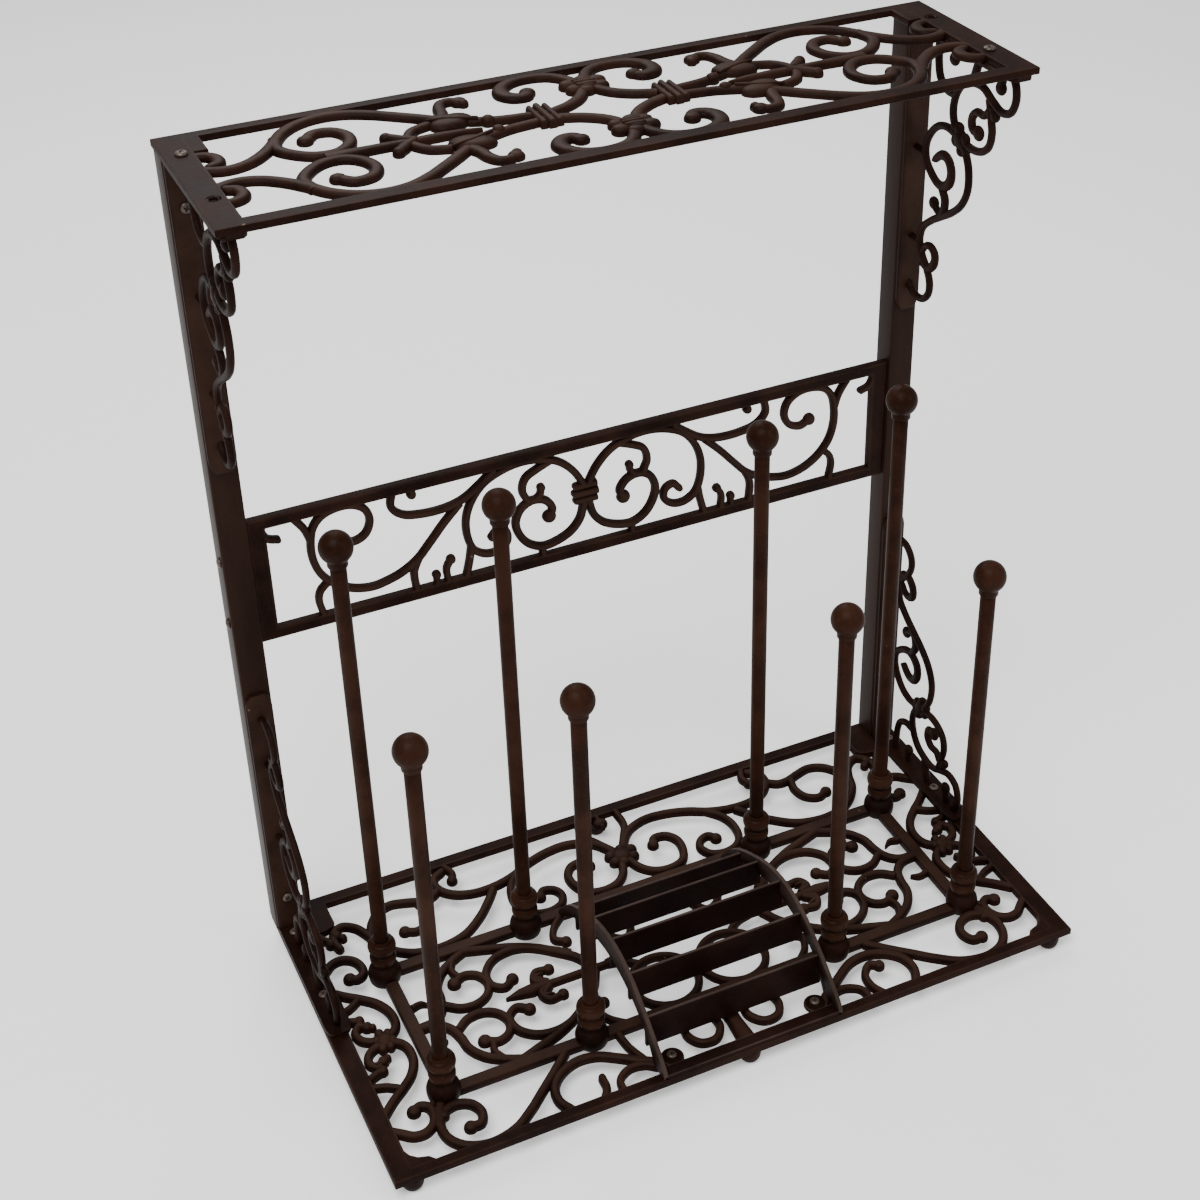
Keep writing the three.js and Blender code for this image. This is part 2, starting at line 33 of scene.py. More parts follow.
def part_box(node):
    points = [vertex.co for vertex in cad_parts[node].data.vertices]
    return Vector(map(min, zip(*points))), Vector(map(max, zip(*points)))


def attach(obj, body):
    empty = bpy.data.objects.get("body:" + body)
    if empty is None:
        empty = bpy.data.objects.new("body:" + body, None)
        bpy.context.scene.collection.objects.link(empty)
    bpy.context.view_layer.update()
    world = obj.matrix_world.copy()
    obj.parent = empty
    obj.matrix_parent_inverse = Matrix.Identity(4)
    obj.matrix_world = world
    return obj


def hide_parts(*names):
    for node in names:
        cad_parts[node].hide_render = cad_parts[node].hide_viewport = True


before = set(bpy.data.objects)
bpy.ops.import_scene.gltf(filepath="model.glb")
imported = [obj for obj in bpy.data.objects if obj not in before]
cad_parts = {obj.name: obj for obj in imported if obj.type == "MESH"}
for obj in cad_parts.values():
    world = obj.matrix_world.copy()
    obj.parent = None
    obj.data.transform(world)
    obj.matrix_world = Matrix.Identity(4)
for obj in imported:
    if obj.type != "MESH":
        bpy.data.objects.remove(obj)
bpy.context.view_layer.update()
MM = 0.001


def cad_box(node):
    """The lowest and highest corner of a CAD node in millimetres, to a hundredth."""
    return [[round(value / MM, 2) for value in corner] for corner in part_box(node)]


def sizes(node):
    """The box of a CAD node in millimetres, by the names of its sides."""
    low, high = cad_box(node)
    return {"left": low[0], "right": high[0], "front": low[1], "back": high[1], "low": low[2],
            "top": high[2]}


def middle_of(node):
    """The middle of a CAD node's box in millimetres."""
    return [round((a + b) / 2, 2) for a, b in zip(*cad_box(node))]


# ---- main sizes, millimetres ------------------------------------------------
SIDES = (("left", -1), ("right", 1))
GAP = 0.25             # between two castings that are screwed together
FLUSH = 0.02           # how far a web's top stays below the rail that it grows from
AXIS = 0.4             # the smallest ring of a turned solid

BASE = sizes("base_grate")
BASE_TOP = BASE["low"] + 7
BASE_MIDDLE = -20.5
RAIL_WIDTH = 11
# BOSS rings are (radius, height, crown); the crown pales the swell of each boss, partly wear and partly a
# painted highlight.
BOSS = [(12.9, 14.5, 0), (13.4, 17.5, 0.1), (13.6, 20.5, 0.25), (13.4, 23, 0.35), (12.7, 25.6, 0.35),
        (11.4, 27.8, 0.3), (9.8, 29.4, 0.1), (8.8, 30.4, 0), (8.6, 32, 0)]
FRONT_CORNER_WEB = [[299, -158], [262, -158], [263, -151], [268, -145], [276, -142.5], [281, -138],
                    [284, -131], [299, -131]]
REAR_CORNER_WEB = [[299, 158], [255, 158], [255, 124], [258, 119], [264, 116.5], [284, 116], [299, 116]]
REAR_CORNER_BERRIES = ((258.5, 109, 5.2, 1), (265.5, 101.5, 4.6, 0.8), (254, 104.5, 4, 0.6))

SHELF = sizes("top_grate")
SHELF_MIDDLE = 77.5
PANEL = sizes("mid_panel")
TUBE_WALL = 2
FLANGE_THICK = 4
BRACKET_X = middle_of("right_lower_bracket")[0]
FRONT_HOLE = 42
REAR_HOLE = 122

ROD_RADIUS = 6.2
KNOB_RADIUS = 13
POSTS = {}
for column in ("left_outer", "left_inner", "right_inner", "right_outer"):
    for row in ("back", "front"):
        tag = f"{row}_{column}"
        ball = sizes(f"post_ball_{tag}")["top"] - KNOB_RADIUS
        POSTS[tag] = (*middle_of(f"post_rod_{tag}")[:2], ball)

# The cheek's outline in Y and Z, from its toe over the arch and back under it.
CHEEK_TOE = (-158.5, 20.4)
CHEEK_OVER = [[-158.5, 22.5], [-158, 26], [-148, 37], [-132, 50], [-116, 62], [-98, 73], [-78, 80.5],
              [-58, 82.4], [-32, 78], [-6, 67], [18, 54], [36, 39], [48, 24], [50, 20.4]]
CHEEK_UNDER = [[41, 20.4], [31, 31], [12, 45], [-10, 54], [-34, 62], [-58, 65], [-78, 63], [-98, 57],
               [-112, 50], [-128, 38], [-141, 20.4]]
SLATS = ((-122, 24, 55), (-91, 46, 74), (-56, 52, 80), (-18, 46, 70.5), (14, 30, 54))   # y, low, top

HEAD_HEIGHT = 2.6
PAN_HEAD = [(0.3, 0.15), (1, 0.15), (1, 0.6), (0.95, 1.3), (0.84, 1.9), (0.68, 2.25), (0.55, 2.42),
            (0.45, 2.5), (0.36, 2.55), (0.27, 2.58), (0.18, 2.6), (0.1, 2.6), (0.03, 2.6)]
RECESS_TURN = (0.3, 0.5, 0.81)

# ---- scroll lines -----------------------------------------------------------
# Each stroke is one cast bar: w is its width, or one width for each point, p its points, bulb the
# radius of the eye at its end, and lift how far it stands above its neighbours. The lists hold the
# right-hand half, or one quarter, and the rest is mirrored.
BASE_BACK = [
  {"w": 8, "p": [[3, 92], [9, 108], [20, 121], [38, 128], [58, 127], [78, 121], [96, 112], [115, 107],
    [135, 107], [152, 114], [161, 126], [160, 138], [151, 144]]},
  {"w": 7, "p": [[147, 149], [143, 138], [146, 130]], "bulb": 5},
  {"w": 7.5, "p": [[92, 114], [103, 100], [107, 85], [104, 69], [96, 60], [84, 57], [72, 61], [67, 71],
    [71, 80], [80, 83], [85, 77]], "bulb": 5.5},
  {"w": 8, "p": [[3, 88], [8, 73], [18, 63], [32, 60], [45, 64], [52, 76], [53, 90], [46, 100],
    [35, 101], [31, 94]], "bulb": 5.5},
  {"w": 8, "p": [[118, 104], [128, 91], [142, 76], [160, 63], [182, 58], [203, 61], [218, 70],
    [229, 84], [234, 99], [241, 112], [251, 118], [259, 113], [262, 103], [260, 93]]},
  {"w": 7, "p": [[260, 100], [267, 106], [274, 118]]},
  {"w": 8, "p": [[161, 124], [170, 118], [180, 118], [192, 122], [205, 125], [217, 121], [226, 111],
    [232, 98]]},
  {"w": 7.5, "p": [[183, 118], [180, 104], [184, 91], [194, 85], [204, 89]], "bulb": 5.5},
  {"w": 7, "p": [[19, 150], [19, 130], [12, 116], [4, 102]]},
]
BASE_SIDE = [
  {"w": 8, "p": [[261, -19], [253, -16], [246.5, -8], [246, 7], [252.5, 21], [263, 31.5],
    [273, 39.5], [285, 51]]},
  {"w": 8, "p": [[286, 68], [279, 73.5], [271.5, 79.5], [262.5, 80.5], [254.5, 75.5], [250.5, 66.5],
    [251.5, 58],
    [257.5, 54], [263.5, 57]], "bulb": 5.8},
  {"w": 7.5, "p": [[261, -18], [270, -16.5], [277, -11], [278.5, -2], [274, 3]]},
  {"w": 5, "p": [[275, 2], [268, -0.5]], "bulb": 4.7, "lift": 0.9},
  {"w": 4, "p": [[268, -1], [264, -2.5]], "bulb": 3.3},
  {"w": 7, "p": [[284, 13], [277, 10], [271.5, 8.5]], "bulb": 4.4, "lift": 0.8},
  {"w": 5, "p": [[274, 9], [271, 2]]},
  {"w": 6.5, "p": [[284, 21.5], [274, 25], [265, 31]]},
]
BASE_FRONT = [
  {"w": 8, "p": [[152, -153], [159, -138], [157, -124], [147, -113], [131, -107], [115, -109],
    [100, -118], [88, -127], [76, -135], [68, -152]]},
  {"w": 8, "p": [[136, -95], [150, -108], [166, -122], [182, -136], [200, -148], [222, -152],
    [239, -146], [248.5, -134], [249.5, -119], [242.5, -108.5], [231.5, -105.5], [221, -110.5],
    [216.5, -121],
    [221, -131], [229.5, -131]], "bulb": 5.6},
  {"w": 6.5, "p": [[110, -153], [108, -139], [96, -132], [84, -134], [76, -140]]},
  {"w": 6.5, "p": [[90, -95], [88, -112], [82, -130]]},
  {"w": 7, "p": [[14, -108], [13, -123], [22, -134], [34, -133], [41, -122], [38, -107], [30, -95]]},
]
CORNER_JOINT = [
  {"w": [9, 8, 7], "p": [[241, -97], [246.5, -108], [251, -120]]},
  {"w": 5, "p": [[247, -104], [244, -112]], "bulb": 4.4},
  {"w": 6, "p": [[250.5, -101], [246, -95]]},
]
# The front curl on the left is broken off short, as found.
BASE_ODD = [
  {"w": 7, "p": [[124, -153], [118, -140], [119, -127], [128, -118], [135, -122]], "bulb": 5},
  {"w": 7, "p": [[-128, -153], [-121, -142], [-120, -131]]},
]
BASE_INNER = [
  {"w": 8, "p": [[168, 45], [182, 38], [194, 29], [202, 16], [204, 2], [208, -10], [217, -18],
    [232, -20]]},
  {"w": 8, "p": [[168, 45], [150, 39], [130, 32], [112, 22], [98, 10], [86, -2], [78, -17]]},
  {"w": 7.5, "p": [[203, -6], [192, -14], [178, -15], [167, -8], [163, 4], [168, 15], [178, 19],
    [188, 14]], "bulb": 6},
  {"w": 6.5, "p": [[182, 18], [185, 28], [180, 40]]},
  {"w": 7.5, "p": [[88, 4], [100, 13], [113, 23], [130, 29], [148, 26], [160, 14], [161, -1],
    [152, -8], [143, -2]], "bulb": 5.5},
  {"w": 6.5, "p": [[118, -18], [128, -13], [124, -4], [112, -5]], "bulb": 5},
  {"w": 6.5, "p": [[78, 48], [90, 36], [94, 24], [86, 18]], "bulb": 5},
  {"w": [6, 5, 2], "p": [[229, 3], [221, 4.5], [215, 1]]},
  {"w": [6, 6, 3], "p": [[118, -18.04], [126, -10.25], [119, -7.79]]},
]
BASE_CENTRE = [
  {"w": 7.5, "p": [[66, -20], [52, -17], [42, -6], [32, 6], [27, 24], [22, 48]]},
  {"w": 7, "p": [[38, -2], [48, 4], [54, 14], [48, 22]], "bulb": 5},
  {"w": 7, "p": [[66, -21], [54, -24], [42, -33]]},
]

SHELF_SCROLLS = [
  {"w": 10, "p": [[287, 100], [281, 92.5], [268, 88.5], [254, 92], [240, 103], [229, 117], [219, 132],
    [205, 143], [188, 148], [170, 146], [153, 137], [139, 126], [127, 116], [116, 106]]},
  {"w": [8, 9, 10, 10.5, 10, 8.5], "p": [[284.5, 118], [279, 118.5], [272.5, 115], [269.5, 108],
    [271.5, 100.5],
    [277.5, 97.5]]},
  {"w": 10, "p": [[226, 124], [229, 106], [220, 92], [208, 84], [194, 84], [183, 94], [180, 108],
    [187, 120], [199, 122], [208, 113]], "bulb": 6},
  {"w": 8.5, "p": [[147, 79.5], [143.5, 88], [138, 95], [126, 100]]},
  {"w": [11, 10, 9.5, 9, 8, 7], "p": [[114, 103], [109.5, 115], [107.5, 126], [103.5, 133],
    [97, 134.5], [91, 131]],
    "bulb": 6.2},
  {"w": 6, "p": [[94, 133], [89, 127]], "bulb": 4},
  {"w": 9, "p": [[98, 94], [78, 87], [58, 84], [44, 82]]},
  {"w": [10, 10, 10, 10, 10, 10, 10.5, 11, 12, 13, 13, 12, 11], "p": [[40, 83], [24, 90], [11, 101],
    [4, 117],
    [6, 133], [16, 146], [31, 150.5], [46, 148], [56.5, 139], [58.5, 128.5], [53.5, 120.5],
    [46, 119], [41.5, 125]],
    "bulb": 6.2},
]

PANEL_SCROLLS = [
  {"w": 6.5, "p": [[2, 376], [10, 390], [22, 402], [38, 409], [55, 411], [72, 408], [88, 400],
    [99, 386],
    [104, 370], [103, 352], [98, 340], [88, 334], [77, 335], [70, 342], [71, 351], [78, 354],
    [84, 348]]},
  {"w": 6.5, "p": [[101, 346], [103, 334], [107, 318]]},
  {"w": 6.5, "p": [[78, 411], [90, 401], [105, 391], [120, 387], [140, 387], [156, 391], [164, 400],
    [162, 415]]},
  {"w": 6, "p": [[147, 414], [147, 407]], "bulb": 4},
  {"w": 6.5, "p": [[108, 388], [122, 374], [135, 359], [147, 346], [160, 338], [172, 334], [185, 332],
    [200, 335], [214, 343], [225, 356], [230, 372], [230, 388], [227, 400], [220, 408],
    [208, 412], [195, 411], [185, 404], [182, 393], [187, 382], [197, 378], [206, 382]], "bulb": 5.5},
  {"w": 6.5, "p": [[230, 388], [234, 400], [243, 414]]},
  {"w": 6, "p": [[268, 410], [263, 400], [255, 397]]},
  {"w": 6.5, "p": [[145, 348], [150, 336], [149, 316]]},
  {"w": 6, "p": [[122, 316], [123, 331], [119, 338]], "bulb": 4},
  {"w": 5.5, "p": [[132, 316], [132, 327]], "bulb": 3.8},
  {"w": 6, "p": [[221, 347], [227, 341], [229, 333], [226, 316]]},
  {"w": 6.5, "p": [[30, 406], [42, 401], [52, 395], [55, 384], [50, 372]]},
  {"w": 6, "p": [[46, 372], [40, 377], [39, 383]], "bulb": 3.6},
  {"w": 7, "p": [[2, 360], [6, 345], [14, 335], [26, 329], [40, 327], [52, 333], [60, 345], [62, 357],
    [57, 368], [47, 373], [36, 370], [30, 361], [33, 354]], "bulb": 6},
  {"w": 6.5, "p": [[40, 328], [40, 316]]},
]

# Bracket strokes use (y, distance from the outer face of the level flange).
BRACKET_SCROLLS = [
  {"w": 6.5, "p": [[134, 222], [121, 229], [110, 228], [102, 220], [101, 210], [106, 200], [114, 191],
    [119, 180], [116, 167], [104, 156], [90, 147], [76, 138], [64, 127], [57, 113], [57, 97], [62, 85],
    [71, 76], [81, 65], [83.5, 54], [80, 41], [72, 31], [60, 26], [46, 25], [33, 31], [20, 35.5],
    [9, 32], [3.8, 22], [4.5, 12], [9, 4]]},
  {"w": [6, 8, 8.5, 8, 7, 6, 4.5], "p": [[114, 197], [104, 198], [96.5, 191], [96, 183],
    [102, 178.5], [109, 180],
    [113, 186]]},
  {"w": [7, 8.5, 8.5, 7], "p": [[92, 124], [87, 131], [87, 139], [91, 147]]},
  {"w": 5.5, "p": [[92, 146], [97, 144], [102, 140]], "bulb": 5.5},
  {"w": [6.5, 6.5, 6.5, 6.5, 6.5, 6.5, 6.5, 7, 7.5, 8.5, 9.5, 9.5, 9, 8.5, 7.5, 6.5],
    "p": [[72, 74], [80, 73], [91, 72], [103, 76], [113, 86], [118, 98], [116, 109], [108, 117],
    [98, 122],
    [89, 121], [82, 115], [80.5, 106], [85, 98], [92, 96], [98, 98.5], [103, 103]]},
  {"w": 4.5, "p": [[134, 103], [119, 103]]},
  {"w": 4.5, "p": [[134, 180], [119, 180]]},
  {"w": 6.5, "p": [[37, 31], [33, 45], [30.5, 56], [33, 67], [41, 74], [52, 77], [68, 76]]},
  {"w": [6, 6, 6.5, 7.5, 8, 7.5], "p": [[36, 40], [42, 46], [51, 46], [57.5, 53], [56, 61],
    [48, 62]], "bulb": 6.2},
  {"w": 5.5, "p": [[32, 36], [28, 42]], "bulb": 4.3},
  {"w": 6.5, "p": [[81, 43], [93, 43], [103, 37], [107, 26], [108, 2]]},
  {"w": 6, "p": [[86, 2], [86, 16]], "bulb": 5.5},
  {"w": 6, "p": [[21, 2], [22, 13], [23.5, 18]], "bulb": 5.6},
  {"w": 8, "p": [[60, 26], [52, 2]]},
]


# ---- mesh tools -----------------------------------------------------------
# A section is a list of (across -1..1, height 0..1) walked once round a bar.
HALF_ROUND = [(-0.78, 0), (-0.97, 0.08), (-1, 0.34), (-0.94, 0.6), (-0.76, 0.83), (-0.42, 0.97),
              (0, 1), (0.42, 0.97), (0.76, 0.83), (0.94, 0.6), (1, 0.34), (0.97, 0.08), (0.78, 0)]
OVAL = [(math.cos(math.tau * i / 12), 0.5 + 0.5 * math.sin(math.tau * i / 12)) for i in range(12)]
SOFT_BAR = [(-0.94, 0), (-1, 0.1), (-1, 0.74), (-0.95, 0.9), (-0.82, 0.99), (-0.4, 1), (0.4, 1),
            (0.82, 0.99), (0.95, 0.9), (1, 0.74), (1, 0.1), (0.94, 0)]

# The rise of an eye at the end of a scroll, as (share of its radius, share of its height).
FLAT_BELOW = [(0.12, 0), (0.86, 0), (0.98, 0.1), (1, 0.36), (0.95, 0.6), (0.8, 0.82), (0.52, 0.96),
              (0.16, 1)]
DOMED_BOTH = [(math.sin(math.pi * i / 12), 0.5 - 0.5 * math.cos(math.pi * i / 12)) for i in range(1, 12)]
EYE_SIDES = 20

# The lobes of a leaf knot: (along, across, radius) as shares of its reach, then rise.
LOBES = [(0, 0, 0.66, 0), (-0.66, 0.24, 0.36, -0.4), (-0.6, -0.32, 0.34, -0.7), (0.68, 0.28, 0.37, -0.3),
         (0.62, -0.3, 0.34, -0.6), (0.14, 0.56, 0.36, -0.8), (-0.12, -0.54, 0.36, -0.8)]
# A crown runs from 0 low on a bar to 1 along its top and lightens the paint there: partly dust and wear,
# partly painted light on the tops.
CROWN_FROM = 0.45
OVAL_CROWN = 0.12
TINY = 1e-9


def smooth_line(points, values, step):
    """A centripetal Catmull-Rom curve through the points, with the values carried along it."""
    p = np.asarray(points, float)
    v = np.asarray(values, float)
    if len(p) == 2:
        count = max(2, int(np.linalg.norm(p[1] - p[0]) / step) + 1)
        t = np.linspace(0, 1, count)[:, None]
        return p[0] + (p[1] - p[0]) * t, v[0] + (v[1] - v[0]) * t[:, 0]
    ends = np.vstack([2 * p[0] - p[1], p, 2 * p[-1] - p[-2]])
    out, carried = [], []
    for i in range(len(p) - 1):
        a, b, c, d = ends[i:i + 4]
        t1 = math.sqrt(np.linalg.norm(b - a))
        t2 = t1 + math.sqrt(np.linalg.norm(c - b))
        t3 = t2 + math.sqrt(np.linalg.norm(d - c))
        count = max(2, int(np.linalg.norm(c - b) / step) + 1)
        s = np.linspace(0, 1, count, endpoint=False)
        t = (t1 + (t2 - t1) * s)[:, None]
        ab = a + (b - a) * t / t1
        bc = b + (c - b) * (t - t1) / (t2 - t1)
        cd = c + (d - c) * (t - t2) / (t3 - t2)
        abc = ab + (bc - ab) * t / t2
        bcd = bc + (cd - bc) * (t - t1) / (t3 - t1)
        out.append(abc + (bcd - abc) * (t - t1) / (t2 - t1))
        carried.append(v[i] + (v[i + 1] - v[i]) * s)
    return np.vstack([*out, p[-1:]]), np.concatenate([*carried, v[-1:]])


def inward(p):
    """For each corner of a loop, the step that moves both of its sides one unit to their left."""
    before, after = p - np.roll(p, 1, 0), np.roll(p, -1, 0) - p
    before /= np.linalg.norm(before, axis=1, keepdims=True)
    after /= np.linalg.norm(after, axis=1, keepdims=True)
    n1 = np.stack([-before[:, 1], before[:, 0]], 1)
    n2 = np.stack([-after[:, 1], after[:, 0]], 1)
    return (n1 + n2) / np.maximum(1 + np.sum(n1 * n2, 1, keepdims=True), 0.35)


def within(u, v, loop):
    """True where a ray from the point crosses the loop an odd number of times."""
    inside = False
    for (a, b), (c, d) in zip(loop, loop[1:] + loop[:1]):
        if (b > v) != (d > v) and u < a + (v - b) * (c - a) / (d - b):
            inside = not inside
    return inside


def rectangle(u0, u1, v0, v1):
    """The corners of an upright rectangle, counterclockwise."""
    return [(u0, v0), (u1, v0), (u1, v1), (u0, v1)]


def window(u0, u1, v0, v1):
    """A rectangular opening, wound the other way from an outline."""
    return rectangle(u0, u1, v0, v1)[::-1]


def circle(u, v, radius, sides):
    """Equal steps round a circle, counterclockwise."""
    turns = [math.tau * i / sides for i in range(sides)]
    return [(u + radius * math.cos(a), v + radius * math.sin(a)) for a in turns]


def drilled(u, v, radius, sides=20):
    """A round opening, wound the other way from an outline."""
    turns = [math.tau * i / sides for i in range(sides)]
    return [(u + radius * math.cos(a), v - radius * math.sin(a)) for a in turns]


def rounded(u0, u1, v0, v1, r, steps=4):
    """A rectangle with a quarter circle of radius r at each corner."""
    out = []
    for cu, cv, start in ((u1 - r, v1 - r, 0), (u0 + r, v1 - r, 90), (u0 + r, v0 + r, 180),
                          (u1 - r, v0 + r, 270)):
        for i in range(steps + 1):
            a = math.radians(start + 90 * i / steps)
            out.append((cu + r * math.cos(a), cv + r * math.sin(a)))
    return out


def rim(low, top, edge):
    """The rise of a plate's rim as (inset, height, crown): upright, then rounded over by edge."""
    # The crown is highest on the rounded-over edge: partly wear, partly a painted highlight along the edge.
    return [(0.4, low, 0), (0, low + 0.5, 0), (0, top - edge, 0.2), (edge * 0.3, top - edge * 0.3, 0.9),
            (edge, top, 0.8), (edge * 2.2, top, 0.35)]


def ring_faces(rings, size, start=0, closed=False):
    """Four-sided faces between neighbouring rings of size points each, the first being start."""
    index = np.arange(rings if closed else rings - 1)[:, None]
    near = start + index * size
    far = start + (index + 1) % rings * size
    here = np.arange(size)
    ahead = (here + 1) % size
    return np.stack([near + here, near + ahead, far + ahead, far + here], 2).reshape(-1, 4).tolist()


def faces_inwards(points, faces):
    """True where the volume, as fans of triangles joined to the origin, comes out negative."""
    volume = 0.0
    for size in {len(face) for face in faces}:
        p = points[np.array([face for face in faces if len(face) == size])]
        for j in range(1, size - 1):
            volume += np.sum(p[:, 0] * np.cross(p[:, j], p[:, j + 1]))
    return volume < 0


def on_floor(u, v, h):
    """Drawn in X and Y, with height along Z."""
    return np.stack([u, v, h], 1)


class Shape:
    """Collects closed chunks, turns each to face out, and makes one mesh of them."""

    def __init__(self, place=on_floor):
        self.place = place
        self.verts, self.crowns, self.faces, self.count = [], [], [], 0

    def add(self, uvh, faces, crown):
        """Puts a closed chunk in place, with its faces turned to point out."""
        points = self.place(uvh[:, 0], uvh[:, 1], uvh[:, 2])
        if faces_inwards(points, faces):
            faces = [face[::-1] for face in faces]
        self.faces += [[k + self.count for k in face] for face in faces]
        self.verts.append(points)
        self.crowns.append(np.broadcast_to(crown, len(points)))
        self.count += len(points)

    def loops(self, rings, crowns, closed=False):
        """Joins rings of equal length: closed back to the first, or else with both ends capped."""
        rings = np.asarray(rings, float)
        count, size = rings.shape[:2]
        faces = ring_faces(count, size, closed=closed)
        if not closed:
            faces += [list(range(size))[::-1], list(range((count - 1) * size, count * size))]
        crown = np.concatenate([np.broadcast_to(c, size) for c in crowns])
        self.add(rings.reshape(-1, 3), faces, crown)

    def bar(self, points, width, low, top, section=HALF_ROUND, step=2.2, tip=True):
        """A cast bar: a section carried square along a smooth line, scaled by the width there.

        width is one number, or one for each point. A narrow stretch is lower too. A tip ends the
        bar in two smaller sections past its last point.
        """
        widths = width if isinstance(width, list) else [width] * len(points)
        line, wide = smooth_line(points, widths, step)
        if tip:
            ahead = line[-1] - line[-2]
            ahead /= max(np.linalg.norm(ahead), TINY)
            line = np.vstack([line, line[-1] + ahead * wide[-1] * 0.22, line[-1] + ahead * wide[-1] * 0.34])
            wide = np.concatenate([wide, [wide[-1] * 0.8, wide[-1] * 0.42]])
        run = np.gradient(line, axis=0)
        run /= np.maximum(np.linalg.norm(run, axis=1, keepdims=True), TINY)
        side = np.stack([-run[:, 1], run[:, 0]], 1)
        across, rise = np.array(section).T
        lift = np.minimum(1.0, 0.55 + 0.45 * wide / (0.7 * max(widths)))
        uv = line[:, None] + side[:, None] * across[:, None] * wide[:, None, None] / 2
        h = low + (top - low) * rise * lift[:, None]
        # The crown lightens the top of the bar: partly dust and wear, partly a painted highlight.
        crown = np.clip((rise - CROWN_FROM) / (1 - CROWN_FROM), 0, 1) ** 1.5
        if section is OVAL:
            crown = np.full(len(rise), OVAL_CROWN)
        self.loops(np.concatenate([uv, h[..., None]], 2), [crown] * len(line))

    def eye(self, u, v, radius, low, top, long=1.0, turn=0.0, both=False):
        """The rounded button that ends a scroll: domed above and flat below, or domed on both faces.

        Each ring is an ellipse, long times as long as it is wide, turned by turn.
        """
        share, rise = np.array(DOMED_BOTH if both else FLAT_BELOW).T
        a = np.arange(EYE_SIDES) * math.tau / EYE_SIDES
        x = np.cos(a) * radius * share[:, None] * long
        y = np.sin(a) * radius * share[:, None]
        h = np.broadcast_to((low + (top - low) * rise)[:, None], x.shape)
        c, s = math.cos(turn), math.sin(turn)
        rings = np.stack([u + x * c - y * s, v + x * s + y * c, h], 2)
        # The crown lightens the top of the eye: partly wear, partly a painted highlight.
        self.loops(rings, np.maximum(0, rise - CROWN_FROM) / (1 - CROWN_FROM))

    def stroke(self, s, low, top, section=HALF_ROUND):
        """One drawn line: its bar, and the eye at its end where it has one."""
        lift, both = s.get("lift", 0), section is OVAL
        self.bar(s["p"], s["w"], low, top + lift, section, tip=not s.get("bulb"))
        if s.get("bulb"):
            grow = 0.4 if both else 0
            self.eye(*s["p"][-1], s["bulb"], low - grow, top + grow + lift + 0.3, both=both)

    def knot(self, u, v, reach, low, top, turn=0.0, both=False):
        """A cast leaf knot over a crossing: a swollen middle with uneven lobes round it."""
        c, s = math.cos(turn), math.sin(turn)
        for a, b, r, rise in LOBES:
            spot = u + reach * (a * c - b * s), v + reach * (a * s + b * c)
            self.eye(*spot, reach * r, low - (rise if both else 0), top + rise, 1.15, turn, both)

    def bands(self, u, v, turn, across, widths, low, top):
        """A collar of cast bands wrapped over crossing bars, the middle one wider and higher."""
        along = np.array([math.cos(turn), math.sin(turn)])
        side = np.array([-along[1], along[0]])
        at = -sum(widths) / 2
        for i, w in enumerate(widths):
            middle = i == len(widths) // 2
            centre = np.array([u, v]) + along * (at + w / 2)
            reach = across / 2 * (1.0 if middle else 0.92)
            self.bar([centre - side * reach, centre + side * reach], w * 1.06, low,
                     top + (0.5 if middle else 0), step=3)
            at += w

    def plate(self, outline, low, top, edge=1.1):
        """A flat plate with its upper edge rounded over."""
        p = np.array(outline, float)
        area = np.sum(p[:, 0] * np.roll(p[:, 1], -1) - np.roll(p[:, 0], -1) * p[:, 1])
        if area < 0:
            p = p[::-1]
        mitre = inward(p)
        steps = rim(low, top, edge)
        rings = [np.column_stack([p + mitre * inset, np.full(len(p), h)]) for inset, h, _ in steps]
        self.loops(rings, [crown for _, _, crown in steps])

    def pierced(self, loops, low, top, edge=1.1):
        """A flat plate: the first loop is its outline, and the others are openings through it."""
        steps = rim(low, top, edge)
        points, crowns, faces, lower, upper, edges = [], [], [], [], [], []
        start = 0
        for loop in loops:
            p = np.array(loop, float)
            n, mitre = len(p), inward(p)
            for inset, h, crown in steps:
                points.append(np.column_stack([p + mitre * inset, np.full(n, h)]))
                crowns.append(np.full(n, crown))
            faces += ring_faces(len(steps), n, start)
            edges += [(len(upper) + k, len(upper) + (k + 1) % n) for k in range(n)]
            lower += range(start, start + n)
            start += n * len(steps)
            upper += range(start - n, start)
        points = np.vstack(points)
        flat = [Vector(points[i][:2]) for i in upper]
        _, _, triangles, sources, *_ = delaunay_2d_cdt(flat, edges, [], 0, 1e-7)
        for triangle in triangles:
            corners = [sources[i][0] for i in triangle]
            u, v = sum((flat[i] for i in corners), Vector((0, 0))) / 3
            if not any(within(u, v, loop) for loop in loops[1:]):
                faces += [[upper[i] for i in corners], [lower[i] for i in corners[::-1]]]
        self.add(points, faces, np.concatenate(crowns))

    def turned(self, profile, u, v, sides, closed=False):
        """A turned solid about an upright axis. profile is (radius, height, crown)."""
        radius, height, crown = np.array(profile, float).T
        a = np.arange(sides) * math.tau / sides
        x = u + np.cos(a) * radius[:, None]
        y = v + np.sin(a) * radius[:, None]
        h = np.broadcast_to(height[:, None], x.shape)
        self.loops(np.stack([x, y, h], 2), crown, closed)

